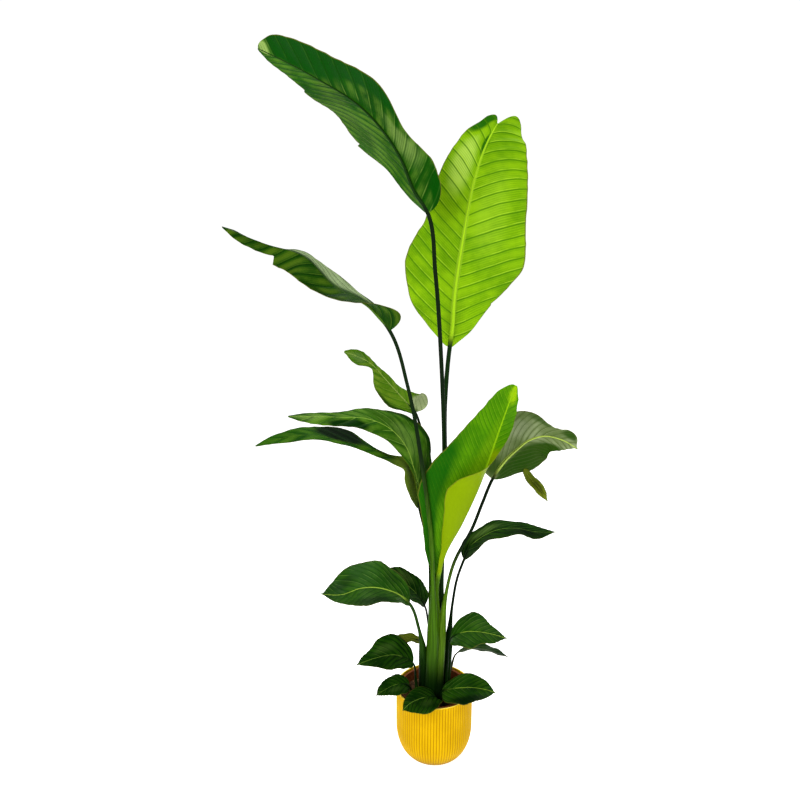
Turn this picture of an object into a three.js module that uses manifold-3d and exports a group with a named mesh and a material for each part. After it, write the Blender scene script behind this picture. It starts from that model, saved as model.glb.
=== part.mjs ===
// Potted bird of paradise: eighteen leaves in a ribbed pot, in millimetres, +Z up,
// the pot's middle at x = y = 0 and its foot on z = 0. Its front faces -Y.
import * as THREE from "three";
import { mergeVertices } from "three/addons/utils/BufferGeometryUtils.js";
import Module from "manifold-3d";

const wasm = await Module();
wasm.setup();

// Driving dimensions of the outer pot
const POT_RADIUS = 110;
const POT_HEIGHT = 220;
const POT_FOOT_RADIUS = 48;
const POT_ROUND_HEIGHT = 98; // the wall turns in below this height
const POT_WALL = 4;
const RIB_COUNT = 84;
const RIB_DEPTH = 1.2;
const RIM_BAND = 3; // smooth band above the ribs
const POT_STEPS = 4; // rings in the rounded part
const ROUND_POINTS = 36; // points round the smooth turned shapes

// Driving dimensions of the nursery pot that stands inside it
const LINER_TOP_RADIUS = 101;
const LINER_FOOT_RADIUS = 66;
const LINER_FOOT = 11.1; // height at which its foot rests on the round bottom of the pot
const LINER_WALL = 1.8;
const LINER_TOP = 216;
const LINER_LIP = 3;
const LINER_LIP_HEIGHT = 14;
const LINER_LIP_SLOPE = 1; // height of the slope under the lip
const DRAIN_HOLES = 5;
const DRAIN_RADIUS = 5;
const DRAIN_SIDES = 8;
const DRAIN_REACH = 0.7; // distance of the holes from the middle, as a share of the foot's radius
const CUT_PAST = 2; // how far a cutting body runs past the face that it cuts

// Soil and clearances
const SOIL_TOP = 190;
const SOIL_EDGE_DROP = 2; // how much lower the soil is against the wall
const SOIL_CROWN = 4; // how much it rises to the middle
const SOIL_ROLLS = [3, 2]; // heights of the broad and of the narrow rolls
const SOIL_SHARES = [0.66, 0.33]; // rings of the top, as shares of its radius
const GAP = 0.35; // between pieces that touch

// Blades and stalks
const BLADE_THICKNESS = 1.1;
const BLADE_ROWS = 15;
const BLADE_SHARES = [0.33, 0.67, 1]; // columns of points, as shares of the way out to the edge
const ROUND_BASE = 0.08; // share of the blade over which its base is rounded off
const ROUND_TIP = 0.1;
const VEIN_SLANT = [0.15, 0.25, 0.3]; // how far the veins lean to the tip
const VEIN_BOW = 0.6; // how much more they lean beside the midrib than at the edge
const RIB_WIDTH = 0.8; // half width of the midrib at the neck, as a share of the neck's
const RIB_DROP = 1.5; // how far the midrib stands out below, as a share of the neck's half width
const RIB_LEAST = [1, 0.9]; // half width and depth of the midrib at the tip
const EDGE_LEAST = 1; // half width of the blade where it closes
const EDGE_PHASE = 2.1; // shifts the waves of one edge against the other's
const NORMAL_STEP = 0.05; // share of a half's width over which its slope is taken
const RIB_GROOVE = 0.5; // height of the groove over the midrib, as a share of the blade's
const TEAR_STEP = 0.006; // share of the blade over which a tear cuts in
const ROW_CROWDING = 0.5; // 0 for even rows, 1 for rows that crowd most to both ends
const ROW_LEAST = 0.004; // rows closer than this share of the blade are one
const STALK_SIDES = 8;
const STALK_STEP = 100; // millimetres between the rings of a stalk
const STALK_LEAST_STEPS = 3;
const STALK_OVERLAP = 14; // how far a stalk runs on into its blade
const SHEATH_LENGTH = 200; // height of the wide part at the foot, unless the leaf gives its own
const SHEATH_SPREAD = 0.35; // how much wider than deep a sheath is
const SHEATH_TAPER = 0.4; // share of the sheath over which it narrows
const STALK_CLEARANCE = GAP * 1.2;
const LEAST_LEFT = 0.7; // share of a leaf that must be left after its neighbours are cut away

const FINISHES = {
  pot: { color: 0xd9a514, roughness: 0.35 },
  liner: { color: 0x6b3a1c, roughness: 0.7 },
  soil: { color: 0x2a1c12, roughness: 0.95 },
  leaf_dark: { color: 0x1f4a12, roughness: 0.4 },
  leaf_mid: { color: 0x2f6a1a, roughness: 0.4 },
  leaf_bright: { color: 0x6fa018, roughness: 0.4 },
};

// Each leaf: the stalk's points from the soil to the neck, then the midrib's points to the tip.
// The lists below hold values at equal steps from base to tip.
// face: which way the upper face looks.
// left, right: width of each half, seen from above.
// lift: degrees that each half rises from the midrib. curl: degrees it bends on the way out.
// wave: height of the waves at the edge, how many there are, and where they start.
// slant: how far the veins lean to the tip. tears: the half, where, how wide and how deep.
// girth: half width of the stalk at its foot, in its middle and at the neck.
// lobe: a torn strip of the blade that hangs on its own.
const LEAVES = [
  {
    name: "leaf_upper_left",
    colour: "leaf_dark",
    stalk: [
      [-12, -20, 140], [-6, -28, 485], [-14, -40, 700], [-40, -60, 920],
      [-75, -75, 1120], [-120, -90, 1265],
    ],
    rib: [
      [-165, -100, 1325], [-250, -125, 1375], [-320, -145, 1448], [-400, -170, 1475],
      [-490, -205, 1515],
    ],
    face: [[0.5, -0.1, 0.8], [0.4, -0.1, 0.9], [0.3, -0.1, 0.9]],
    left: [70, 50, 42, 54, 50, 32, 8],
    right: [40, 70, 105, 110, 90, 50, 0],
    lift: [[70, 25, -20, -60, -55, -60, -50], [10, -4, 4, -4, -16, -14, 0]],
    curl: [[0], [0]],
    wave: [3, 3, 0.4],
    girth: [13, 7, 5],
    sheath: 430,
    tears: [[0, 0.72, 0.28, 0.5]],
    slant: [0.1, 0.15, 0.1],
  },
  {
    name: "leaf_left_glossy",
    colour: "leaf_dark",
    stalk: [[-34, -12, 140], [-36, -22, 365], [-45, -40, 425], [-70, -60, 510]],
    rib: [
      [-95, -70, 540], [-125, -90, 565], [-160, -105, 580], [-195, -120, 585],
      [-245, -145, 578], [-295, -165, 590],
    ],
    face: [[0.3, -0.33, 0.9], [0, -0.33, 0.95], [-0.1, -0.33, 0.95]],
    left: [16, 36, 60, 78, 70, 35, 0],
    right: [20, 66, 82, 76, 62, 38, 0],
    lift: [[13, 13, 13], [13, 13, 13]],
    curl: [[0], [0]],
    wave: [4, 3, 0.4],
    girth: [11, 5, 4.5],
    sheath: 290,
    rows: 12,
  },
  {
    name: "leaf_right_upper",
    colour: "leaf_dark",
    stalk: [
      [10, -16, 140], [16, -14, 330], [28, 0, 500], [50, 8, 600],
      [101, 20, 705], [126, 25, 775], [152, 35, 840],
    ],
    rib: [
      [180, 45, 885], [215, 55, 918], [250, 60, 945], [290, 60, 957],
      [335, 53, 950], [378, 40, 928],
    ],
    face: [[-0.5, 0.8, 0.2], [-0.3, 0.95, 0.2], [0, 0.9, 0.4]],
    left: [42, 82, 102, 92, 56, 34, 0],
    right: [60, 104, 122, 124, 122, 108, 92, 70, 38, 28, 34, 26, 0],
    lift: [[5, 5, 5], [5, 5, 5]],
    curl: [[0], [0]],
    wave: [2, 3, 0.4],
    girth: [10, 5, 4.5],
    sheath: 400,
    rows: 12,
    lobe: {
      rib: [[243, 88, 853], [260, 88, 826], [281, 86, 804], [298, 84, 781], [311, 82, 761]],
      face: [[0.35, -0.85, 0.4]],
      left: [8, 12, 14, 12, 0],
      right: [8, 14, 16, 12, 0],
      lift: [[8], [8]],
      curl: [[0], [0]],
      wave: [1, 2, 0.4],
      girth: [1.5, 1.5, 1.5],
      rows: 6,
      columns: [0.5, 1],
    },
    slant: [0.15, 0.2, 0.25, 0.3],
  },
  {
    name: "leaf_centre_rolled",
    colour: "leaf_bright",
    stalk: [[0, -4, 140], [4, -8, 400], [5, -14, 560]],
    rib: [
      [22, -24, 640], [66, -42, 740], [110, -52, 850], [139, -60, 942],
      [164, -56, 1022], [197, -40, 1120],
    ],
    face: [[-0.1, -1, 0.2], [-0.1, -1, 0.25], [-0.1, -1, 0.3]],
    left: [4, 66, 124, 116, 90, 57, 25],
    right: [4, 14, 22, 48, 70, 92, 78, 64, 37, 33, 30, 22, 14],
    lift: [[15, 10, 5], [110, 120, 115, 110, 60, 15, -10]],
    curl: [[0], [60, 70, 70, 70, 30, 0, 0]],
    wave: [3, 2, 0.4],
    girth: [11, 9, 7],
    sheath: 420,
  },
  {
    name: "leaf_right_middle",
    colour: "leaf_dark",
    stalk: [[30, 14, 140], [42, 22, 385], [50, 28, 475], [60, 38, 535], [80, 46, 595]],
    rib: [
      [95, 50, 630], [125, 50, 660], [165, 45, 685], [220, 40, 695],
      [275, 30, 690], [330, 20, 695],
    ],
    face: [[-0.6, -0.3, 0.7], [-0.1, 0, 1], [0.1, -0.05, 1]],
    left: [20, 40, 50, 48, 42, 28, 0],
    right: [20, 45, 55, 60, 55, 40, 0],
    lift: [[10, 3, 3], [10, 3, 3]],
    curl: [[0], [0]],
    wave: [4, 3, 0.4],
    girth: [10, 4.5, 3.8],
    sheath: 320,
    rows: 12,
  },
  {
    name: "leaf_top_left",
    colour: "leaf_dark",
    stalk: [
      [10, 16, 140], [16, 16, 485], [18, 2, 960], [8, -8, 1170],
      [-10, -20, 1400], [-30, -30, 1545],
    ],
    rib: [[-65, -40, 1605], [-90, -45, 1665], [-180, -60, 1780], [-295, -75, 1850], [-418, -90, 1908]],
    face: [[0.5, 0.75, 0.5], [0.4, 0.6, 0.7], [0.3, 0.6, 0.7]],
    left: [60, 82, 56, 108, 92, 82, 34],
    right: [24, 62, 138, 123, 96, 56, 14],
    lift: [[10, 0, -5, -5, 0], [25, 12, 12, 12, 8]],
    curl: [[0], [0]],
    wave: [5, 3.2, 0.4],
    girth: [10, 7, 5],
    sheath: 420,
    tears: [[1, 0.36, 0.14, 0.1], [1, 0.735, 0.15, 0.12]],
  },
  {
    name: "leaf_top_right",
    colour: "leaf_bright",
    stalk: [[-6, 26, 140], [12, 36, 485], [25, 50, 770], [20, 60, 1055], [30, 60, 1200]],
    rib: [
      [35, 60, 1240], [40, 55, 1330], [60, 60, 1485], [85, 80, 1625],
      [120, 115, 1725], [145, 140, 1770],
    ],
    face: [[-0.1, 1, 0], [-0.1, 1, -0.1], [0, 0.9, 0.3]],
    left: [14, 64, 104, 139, 166, 160, 148, 144, 136, 121, 100, 70, 42],
    right: [26, 66, 106, 127, 136, 119, 100, 92, 86, 75, 60, 38, 18],
    lift: [[10, 5, 5, 5, 5], [10, 5, 5, 5, 5]],
    curl: [[0], [0]],
    wave: [3, 3, 1],
    slant: [0.1, 0.11, 0.12, 0.14, 0.16, 0.2, 0.25, 0.36, 0.5, 0.62, 0.75, 1, 2.6],
    girth: [10, 7, 6],
    sheath: 420,
    tears: [[0, 0.17, 0.03, 0.04]],
  },
  {
    name: "leaf_middle_left_upper",
    colour: "leaf_mid",
    stalk: [[-22, 6, 140], [-10, 2, 485], [-4, 0, 600], [-20, 0, 720], [-40, 0, 790]],
    rib: [
      [-60, -10, 875], [-85, -20, 950], [-125, -35, 1000], [-180, -55, 1030],
      [-250, -80, 1040], [-375, -115, 1050],
    ],
    face: [[0.6, -0.6, 0.5], [0.2, -0.25, 0.95], [0.05, -0.1, 1]],
    left: [4, 6, 32, 38, 30, 28, 0],
    right: [30, 70, 86, 60, 32, 22, 0],
    lift: [[10, -10, -30, -30, -20], [15, 10, 5, 5, 5]],
    curl: [[0], [0]],
    wave: [4, 3, 0.4],
    girth: [7, 5, 4],
    rows: 14,
  },
  {
    name: "leaf_middle_left_lower",
    colour: "leaf_mid",
    stalk: [[-38, 14, 140], [-16, 14, 485], [-22, 20, 640], [-48, 15, 760]],
    rib: [
      [-64, 10, 846], [-84, 0, 896], [-118, -10, 914], [-175, -30, 942],
      [-240, -55, 968], [-330, -85, 993], [-460, -120, 973],
    ],
    face: [[0.6, -0.6, 0.5], [0.1, -0.15, 1], [-0.05, -0.1, 1]],
    left: [20, 46, 34, 15, 15, 20, 0],
    right: [10, 30, 25, 16, 5, 8, 60, 66, 58, 50, 34, 20, 0],
    lift: [[15, 10, -20, -20, -10], [15, 10, 5, 5, 5]],
    curl: [[0], [0]],
    wave: [4, 3, 1.4],
    girth: [6, 4, 3],
    rows: 14,
  },
  {
    name: "leaf_middle_left_short",
    colour: "leaf_mid",
    stalk: [
      [-26, 28, 140], [-14, 18, 485], [-16, 32, 760], [-30, 58, 900],
      [-45, 66, 970], [-60, 58, 1018],
    ],
    rib: [[-80, 30, 1050], [-110, 25, 1085], [-140, 20, 1120], [-175, 15, 1160], [-245, 0, 1195]],
    face: [[0.4, -0.8, 0.45], [0.4, -0.8, 0.45], [0.3, -0.7, 0.6]],
    left: [8, 20, 52, 44, 12, 25, 0],
    right: [66, 44, 16, 14, 8, 18, 0],
    lift: [[10, 10, 10], [10, 10, 10]],
    curl: [[0], [0]],
    wave: [3, 3, 0.4],
    girth: [6, 4.5, 3.5],
    rows: 12,
    slant: [-0.55, 0.15, 0.2],
    columns: [0.5, 1],
  },
  {
    name: "leaf_left_behind",
    colour: "leaf_mid",
    stalk: [[-12, 44, 140], [-20, 36, 400], [-30, 30, 455]],
    rib: [[-50, 26, 490], [-75, 20, 520], [-105, 10, 545], [-140, 0, 550], [-175, -10, 545]],
    face: [[0.3, -0.33, 0.9], [0, -0.33, 0.95], [-0.1, -0.33, 0.95]],
    left: [15, 30, 50, 55, 45, 30, 0],
    right: [34, 42, 42, 42, 36, 24, 0],
    lift: [[13, 13, 13], [13, 13, 13]],
    curl: [[0], [0]],
    wave: [3, 3, 0.4],
    girth: [5, 3.5, 3],
    rows: 10,
    columns: [0.5, 1],
  },
  {
    name: "leaf_left_olive",
    colour: "leaf_mid",
    stalk: [[-30, 32, 140], [-30, 30, 300], [-38, 28, 338]],
    rib: [[-55, 22, 352], [-90, 8, 360], [-125, -8, 350]],
    face: [[0.2, -0.1, 1], [0, -0.1, 1], [0, -0.1, 1]],
    left: [15, 18, 20, 20, 18, 12, 0],
    right: [15, 18, 20, 20, 18, 12, 0],
    lift: [[10, 10, 10], [10, 10, 10]],
    curl: [[0], [0]],
    wave: [2, 3, 0.4],
    girth: [4, 3, 2.5],
    rows: 10,
    columns: [0.5, 1],
  },
  {
    name: "leaf_left_low",
    colour: "leaf_dark",
    stalk: [[-52, -24, 140], [-53, -40, 270], [-60, -55, 325]],
    rib: [[-80, -65, 347], [-110, -80, 365], [-150, -100, 370], [-180, -110, 365], [-210, -125, 360]],
    face: [[0.3, -0.33, 0.9], [0, -0.33, 0.95], [-0.1, -0.33, 0.95]],
    left: [20, 40, 58, 60, 40, 20, 0],
    right: [25, 50, 60, 52, 32, 18, 0],
    lift: [[13, 13, 13], [13, 13, 13]],
    curl: [[0], [0]],
    wave: [3, 3, 0.4],
    girth: [4, 3, 2.6],
    rows: 10,
    columns: [0.5, 1],
  },
  {
    name: "leaf_rim_left",
    colour: "leaf_dark",
    stalk: [[-58, -34, 140], [-60, -36, 205], [-70, -42, 240]],
    rib: [[-90, -54, 258], [-112, -70, 264], [-135, -88, 262], [-160, -100, 250]],
    face: [[0.3, -0.35, 0.9], [0, -0.35, 0.93], [-0.2, -0.35, 0.9]],
    left: [15, 30, 38, 38, 30, 15, 0],
    right: [15, 25, 28, 26, 22, 15, 0],
    lift: [[8, 8, 8], [8, 8, 8]],
    curl: [[0], [0]],
    wave: [2, 3, 0.4],
    girth: [3.5, 3, 2.5],
    rows: 10,
    columns: [0.5, 1],
  },
  {
    name: "leaf_rim_front",
    colour: "leaf_dark",
    stalk: [[-4, -42, 140], [0, -44, 190], [5, -50, 214]],
    rib: [[-18, -72, 231], [-45, -95, 238], [-68, -112, 235], [-85, -128, 226]],
    face: [[0.2, -0.3, 1], [0, -0.35, 0.93], [-0.2, -0.4, 0.9]],
    left: [25, 42, 60, 64, 52, 30, 0],
    right: [15, 28, 34, 32, 24, 14, 0],
    lift: [[28, 16, 8], [8, 8, 8]],
    curl: [[0], [0]],
    wave: [2, 3, 0.4],
    girth: [3.5, 3, 2.6],
    rows: 10,
    columns: [0.5, 1],
  },
  {
    name: "leaf_rim_right",
    colour: "leaf_mid",
    stalk: [[16, -26, 140], [18, -26, 190], [22, -26, 216]],
    rib: [[45, -35, 232], [80, -45, 245], [110, -55, 253], [140, -64, 255], [170, -70, 250]],
    face: [[-0.3, -0.25, 1], [0, -0.25, 1], [0.1, -0.25, 1]],
    left: [12, 36, 47, 45, 35, 20, 0],
    right: [25, 50, 62, 64, 50, 28, 0],
    lift: [[5, 5, 5], [5, 5, 5]],
    curl: [[0], [0]],
    wave: [2, 3, 0.4],
    girth: [4, 3.5, 3],
    rows: 10,
    columns: [0.5, 1],
  },
  {
    name: "leaf_right_low",
    colour: "leaf_dark",
    stalk: [[36, 0, 140], [37, 0, 300], [45, -8, 375]],
    rib: [[60, -20, 396], [85, -35, 415], [120, -50, 425], [155, -65, 428], [195, -80, 425]],
    face: [[-0.3, -0.33, 0.9], [0, -0.33, 0.95], [0.1, -0.33, 0.95]],
    left: [20, 48, 60, 50, 28, 14, 0],
    right: [15, 45, 65, 66, 45, 30, 0],
    lift: [[10, 10, 10], [10, 10, 10]],
    curl: [[0], [0]],
    wave: [3, 3, 0.4],
    girth: [4, 3.5, 3],
    rows: 10,
    columns: [0.5, 1],
  },
  {
    name: "leaf_right_narrow",
    colour: "leaf_dark",
    stalk: [[38, 26, 140], [48, 22, 262], [65, 24, 312]],
    rib: [[90, 20, 325], [125, 15, 334], [165, 5, 332], [210, -8, 322]],
    face: [[-0.3, 0.35, 0.9], [0, 0.35, 0.93], [0.1, 0.35, 0.93]],
    left: [15, 30, 42, 42, 35, 20, 0],
    right: [15, 30, 42, 42, 35, 20, 0],
    lift: [[5, 5, 5], [5, 5, 5]],
    curl: [[0], [0]],
    wave: [2, 3, 0.4],
    girth: [3.5, 2.6, 2.2],
    rows: 10,
    columns: [0.5, 1],
  },
];

// A smooth path through points chosen by hand, read by the distance along their chords
class Path {
  constructor(points) {
    this.points = points.map((p) => new THREE.Vector3(...p));
    this.reach = [0];
    const slopes = [];
    for (let i = 1; i < points.length; i++) {
      const step = this.points[i].clone().sub(this.points[i - 1]);
      this.reach.push(this.reach[i - 1] + step.length());
      slopes.push(step.divideScalar(step.length()));
    }
    this.forward = this.points.map((_, i) => {
      if (i === 0 || i === slopes.length) return null;
      const before = this.reach[i] - this.reach[i - 1];
      const after = this.reach[i + 1] - this.reach[i];
      const mixed = slopes[i - 1].clone().multiplyScalar(after);
      return mixed.addScaledVector(slopes[i], before).divideScalar(before + after);
    });
    const last = slopes.length;
    this.forward[0] = slopes[0].clone().multiplyScalar(1.5);
    this.forward[0].addScaledVector(this.forward[1] ?? slopes[0], -0.5);
    this.forward[last] = slopes[last - 1].clone().multiplyScalar(1.5);
    this.forward[last].addScaledVector(this.forward[last - 1], -0.5);
  }

  get length() {
    return this.reach.at(-1);
  }

  at(distance) {
    let i = 0;
    while (i < this.reach.length - 2 && distance > this.reach[i + 1]) i++;
    const span = this.reach[i + 1] - this.reach[i];
    const t = (distance - this.reach[i]) / span;
    const place = new THREE.Vector3()
      .addScaledVector(this.points[i], 2 * t ** 3 - 3 * t ** 2 + 1)
      .addScaledVector(this.forward[i], (t ** 3 - 2 * t ** 2 + t) * span)
      .addScaledVector(this.points[i + 1], 3 * t ** 2 - 2 * t ** 3)
      .addScaledVector(this.forward[i + 1], (t ** 3 - t ** 2) * span);
    const forward = new THREE.Vector3()
      .addScaledVector(this.points[i], (6 * t ** 2 - 6 * t) / span)
      .addScaledVector(this.forward[i], 3 * t ** 2 - 4 * t + 1)
      .addScaledVector(this.points[i + 1], (6 * t - 6 * t ** 2) / span)
      .addScaledVector(this.forward[i + 1], 3 * t ** 2 - 2 * t)
      .normalize();
    return { place, forward };
  }
}

// Values given at equal steps, read smoothly at t from 0 to 1
function blend(values, t) {
  if (values.length === 1) return values[0];
  const last = values.length - 1;
  const i = Math.min(Math.floor(t * last), last - 1);
  const u = t * last - i;
  const slopeAt = (k) => {
    const rise = values[Math.min(k + 1, last)] - values[Math.max(k - 1, 0)];
    return k % last ? rise / 2 : rise;
  };
  return (
    (2 * u ** 3 - 3 * u ** 2 + 1) * values[i] +
    (u ** 3 - 2 * u ** 2 + u) * slopeAt(i) +
    (3 * u ** 2 - 2 * u ** 3) * values[i + 1] +
    (u ** 3 - u ** 2) * slopeAt(i + 1)
  );
}

// Width of a half at t, rounded off over a short way at both ends
function halfWidth(leaf, half, t) {
  const widths = half === 0 ? leaf.left : leaf.right;
  const fromEnd = Math.min(t / ROUND_BASE, (1 - t) / ROUND_TIP, 1);
  const roundedOff = Math.sqrt(1 - (1 - fromEnd) ** 2);
  return Math.max(blend(widths, t) * roundedOff, EDGE_LEAST) * tear(leaf, t, half);
}

// Closed body from rings of equal length, its first and last ring closed by strips
function loft(rings) {
  const count = rings[0].length;
  const positions = rings.flat().flatMap((p) => [p.x, p.y, p.z]);
  const index = [];
  for (let i = 0; i + 1 < rings.length; i++) {
    for (let j = 0; j < count; j++) {
      const a = i * count + j;
      const b = i * count + ((j + 1) % count);
      const [c, d] = [a + count, b + count];
      // the second half of a blade's ring runs back, so its diagonals are turned to match
      if (j < count / 2) index.push(a, d, b, a, c, d);
      else index.push(a, c, b, b, c, d);
    }
  }
  const last = (rings.length - 1) * count;
  for (const [a, b, c] of stripCap(count)) {
    index.push(a, b, c);
    index.push(last + a, last + c, last + b);
  }
  return solid(positions, index);
}

// Strips across a ring, from each point to the one opposite it
function stripCap(count) {
  const cap = [];
  for (let j = 0; j < count / 2 - 1; j++) {
    const back = count - 1 - j;
    cap.push([j, j + 1, back - 1], [j, back - 1, back]);
  }
  return cap;
}

function solid(positions, index) {
  const geometry = new THREE.BufferGeometry();
  geometry.setAttribute("position", new THREE.Float32BufferAttribute(positions, 3));
  geometry.setIndex(index);
  return solidOf(geometry);
}

function solidOf(geometry) {
  const plain = geometry.clone();
  plain.deleteAttribute("normal");
  plain.deleteAttribute("uv");
  const merged = mergeVertices(plain, 1e-3);
  return new wasm.Manifold(
    new wasm.Mesh({
      numProp: 3,
      vertProperties: new Float32Array(merged.attributes.position.array),
      triVerts: new Uint32Array(merged.index.array),
    }),
  );
}

// Forward, across and up directions at t along the blade; across is to the right of someone
// who stands on the upper face and looks at the tip
function bladeFrame(leaf, path, stalkLength, t) {
  const { place, forward } = path.at(stalkLength + t * (path.length - stalkLength));
  const face = [0, 1, 2].map((axis) => blend(leaf.face.map((f) => f[axis]), t));
  const up = new THREE.Vector3(...face);
  up.addScaledVector(forward, -up.dot(forward)).normalize();
  const across = new THREE.Vector3().crossVectors(forward, up);
  return { place, forward, across, up };
}

// A point of the blade's middle surface: side is -1 for the left half and 1 for the right,
// s runs from 0 beside the midrib to 1 at the edge
function bladePoint(leaf, frame, t, side, s) {
  const half = side < 0 ? 0 : 1;
  const width = halfWidth(leaf, half, t);
  const lift = THREE.MathUtils.degToRad(blend(leaf.lift[half], t));
  const curl = THREE.MathUtils.degToRad(blend(leaf.curl[half], t)) || 1e-4;
  const angle = lift + curl * s;
  const out = (width * (Math.sin(angle) - Math.sin(lift))) / curl;
  const rise = (width * (Math.cos(lift) - Math.cos(angle))) / curl;
  const [height, count, phase] = leaf.wave;
  const share = width / Math.max(...leaf.left, ...leaf.right);
  const turn = 2 * Math.PI * count * t + phase + EDGE_PHASE * half;
  const wave = height * share * s ** 2 * Math.sin(turn);
  const bow = VEIN_BOW * Math.min((1 - t) / ROUND_TIP, 1);
  const forward = blend(leaf.slant ?? VEIN_SLANT, t) * width * s * (1 + bow * (1 - s));
  return frame.place
    .clone()
    .addScaledVector(frame.across, side * (ribWidth(leaf, t) + out - wave * Math.sin(angle)))
    .addScaledVector(frame.up, rise + wave * Math.cos(angle))
    .addScaledVector(frame.forward, forward);
}

function ribWidth(leaf, t) {
  return Math.max(leaf.girth[2] * RIB_WIDTH * (1 - t), RIB_LEAST[0]);
}

// Share of a half's width that its tears leave: each cuts in at once and runs slowly out again
function tear(leaf, t, half) {
  let share = 1;
  for (const [tornHalf, at, wide, deep] of leaf.tears ?? []) {
    if (tornHalf !== half || t <= at || t >= at + wide) continue;
    share *= 1 - deep * Math.min((t - at) / TEAR_STEP, (at + wide - t) / (wide - TEAR_STEP));
  }
  return share;
}

// Rows along the blade: closer together at both ends, and at the edges of each tear
function rowsOf(leaf, count) {
  const rows = [];
  for (let i = 0; i <= count; i++) {
    const even = i / count;
    const crowded = (1 - Math.cos(Math.PI * even)) / 2;
    rows.push(THREE.MathUtils.lerp(even, crowded, ROW_CROWDING));
  }
  for (const [, at, wide] of leaf.tears ?? []) rows.push(at, at + TEAR_STEP, at + wide);
  return rows.sort((a, b) => a - b).filter((t, i, all) => i === 0 || t - all[i - 1] > ROW_LEAST);
}

function bladeSolid(leaf, path, stalkLength) {
  const rows = rowsOf(leaf, leaf.rows ?? BLADE_ROWS);
  const shares = leaf.columns ?? BLADE_SHARES;
  const neck = leaf.girth[2];
  const rings = rows.map((t) => {
    const frame = bladeFrame(leaf, path, stalkLength, t);
    const ribHalf = ribWidth(leaf, t);
    const ribDeep = Math.max(neck * RIB_DROP * (1 - t), RIB_LEAST[1]);
    const top = [];
    const bottom = [];
    const columns = [...shares.map((s) => [-1, s]).reverse(), ...shares.map((s) => [1, s])];
    for (const [side, s] of columns) {
      const point = bladePoint(leaf, frame, t, side, s);
      const inner = bladePoint(leaf, frame, t, side, s - NORMAL_STEP);
      const out = point.clone().sub(inner).multiplyScalar(side);
      const normal = new THREE.Vector3().crossVectors(out, frame.forward).normalize();
      top.push(point.clone().addScaledVector(normal, BLADE_THICKNESS / 2));
      bottom.push(point.clone().addScaledVector(normal, -BLADE_THICKNESS / 2));
    }
    const middle = shares.length;
    const ribPoint = (side, offset) => {
      const lift = side === 0 ? 0 : blend(leaf.lift[side < 0 ? 0 : 1], t);
      const tilt = THREE.MathUtils.degToRad(lift);
      return frame.place
        .clone()
        .addScaledVector(frame.across, side * (ribHalf - offset * Math.sin(tilt)))
        .addScaledVector(frame.up, offset * Math.cos(tilt));
    };
    const half = BLADE_THICKNESS / 2;
    const groove = ribPoint(0, half * RIB_GROOVE);
    top.splice(middle, 0, ribPoint(-1, half), groove, ribPoint(1, half));
    bottom.splice(middle, 0, ribPoint(-1, -half), ribPoint(0, -half - ribDeep), ribPoint(1, -half));
    return [...bottom, ...top.reverse()];
  });
  return loft(rings);
}

function stalkSolid(leaf, path, stalkLength, extra = 0) {
  const [foot, middle, neck] = leaf.girth;
  const reach = stalkLength + STALK_OVERLAP;
  const steps = Math.max(Math.ceil(reach / STALK_STEP), STALK_LEAST_STEPS);
  const end = bladeFrame(leaf, path, stalkLength, 0);
  const across = new THREE.Vector3(1, 0, 0);
  if (across.dot(end.across) < 0) across.negate();
  const rings = [];
  for (let i = 0; i <= steps; i++) {
    const u = i / steps;
    const { place, forward } = path.at(u * reach);
    if (i === 0) place.addScaledVector(forward, -2 * extra);
    const side = across.clone().lerp(end.across, u * u * (3 - 2 * u));
    side.addScaledVector(forward, -side.dot(forward)).normalize();
    const up = new THREE.Vector3().crossVectors(side, forward);
    const sheathLength = leaf.sheath ?? SHEATH_LENGTH;
    const sheathLeft = sheathLength - u * reach;
    const sheath = THREE.MathUtils.smoothstep(sheathLeft, 0, sheathLength * SHEATH_TAPER);
    const radius = THREE.MathUtils.lerp(middle, neck, u) + (foot - middle) * sheath;
    const wide = radius * (1 + SHEATH_SPREAD * sheath) + extra;
    const ring = [];
    for (let k = 0; k < STALK_SIDES; k++) {
      const angle = (2 * Math.PI * (k + 0.5)) / STALK_SIDES;
      ring.push(
        place
          .clone()
          .addScaledVector(side, wide * Math.cos(angle))
          .addScaledVector(up, (radius + extra) * Math.sin(angle)),
      );
    }
    rings.push(ring);
  }
  return loft(rings);
}

// A round ring at one height, clockwise seen from above; grooved sinks every other point
function roundRing(radius, height, points, groove = 0) {
  const ring = [];
  for (let k = 0; k < points; k++) {
    const angle = (-2 * Math.PI * k) / points;
    const r = radius - (k % 2) * groove;
    ring.push(new THREE.Vector3(r * Math.cos(angle), r * Math.sin(angle), height));
  }
  return ring;
}

// Radius of the outer pot at a height: a quarter ellipse that turns into a straight wall
function potRadius(height) {
  if (height >= POT_ROUND_HEIGHT) return POT_RADIUS;
  const share = (POT_ROUND_HEIGHT - height) / POT_ROUND_HEIGHT;
  return POT_FOOT_RADIUS + (POT_RADIUS - POT_FOOT_RADIUS) * Math.sqrt(1 - share ** 2);
}

function turn(inset, points, grooved) {
  const rings = [];
  for (let i = 0; i <= POT_STEPS; i++) {
    const height = POT_ROUND_HEIGHT * (1 - Math.cos((Math.PI / 2) * (i / POT_STEPS)));
    const radius = potRadius(height) - inset;
    const z = inset + (height * (POT_ROUND_HEIGHT - inset)) / POT_ROUND_HEIGHT;
    rings.push(roundRing(radius, z, points, grooved * RIB_DEPTH * (radius / POT_RADIUS)));
  }
  return rings;
}

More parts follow.
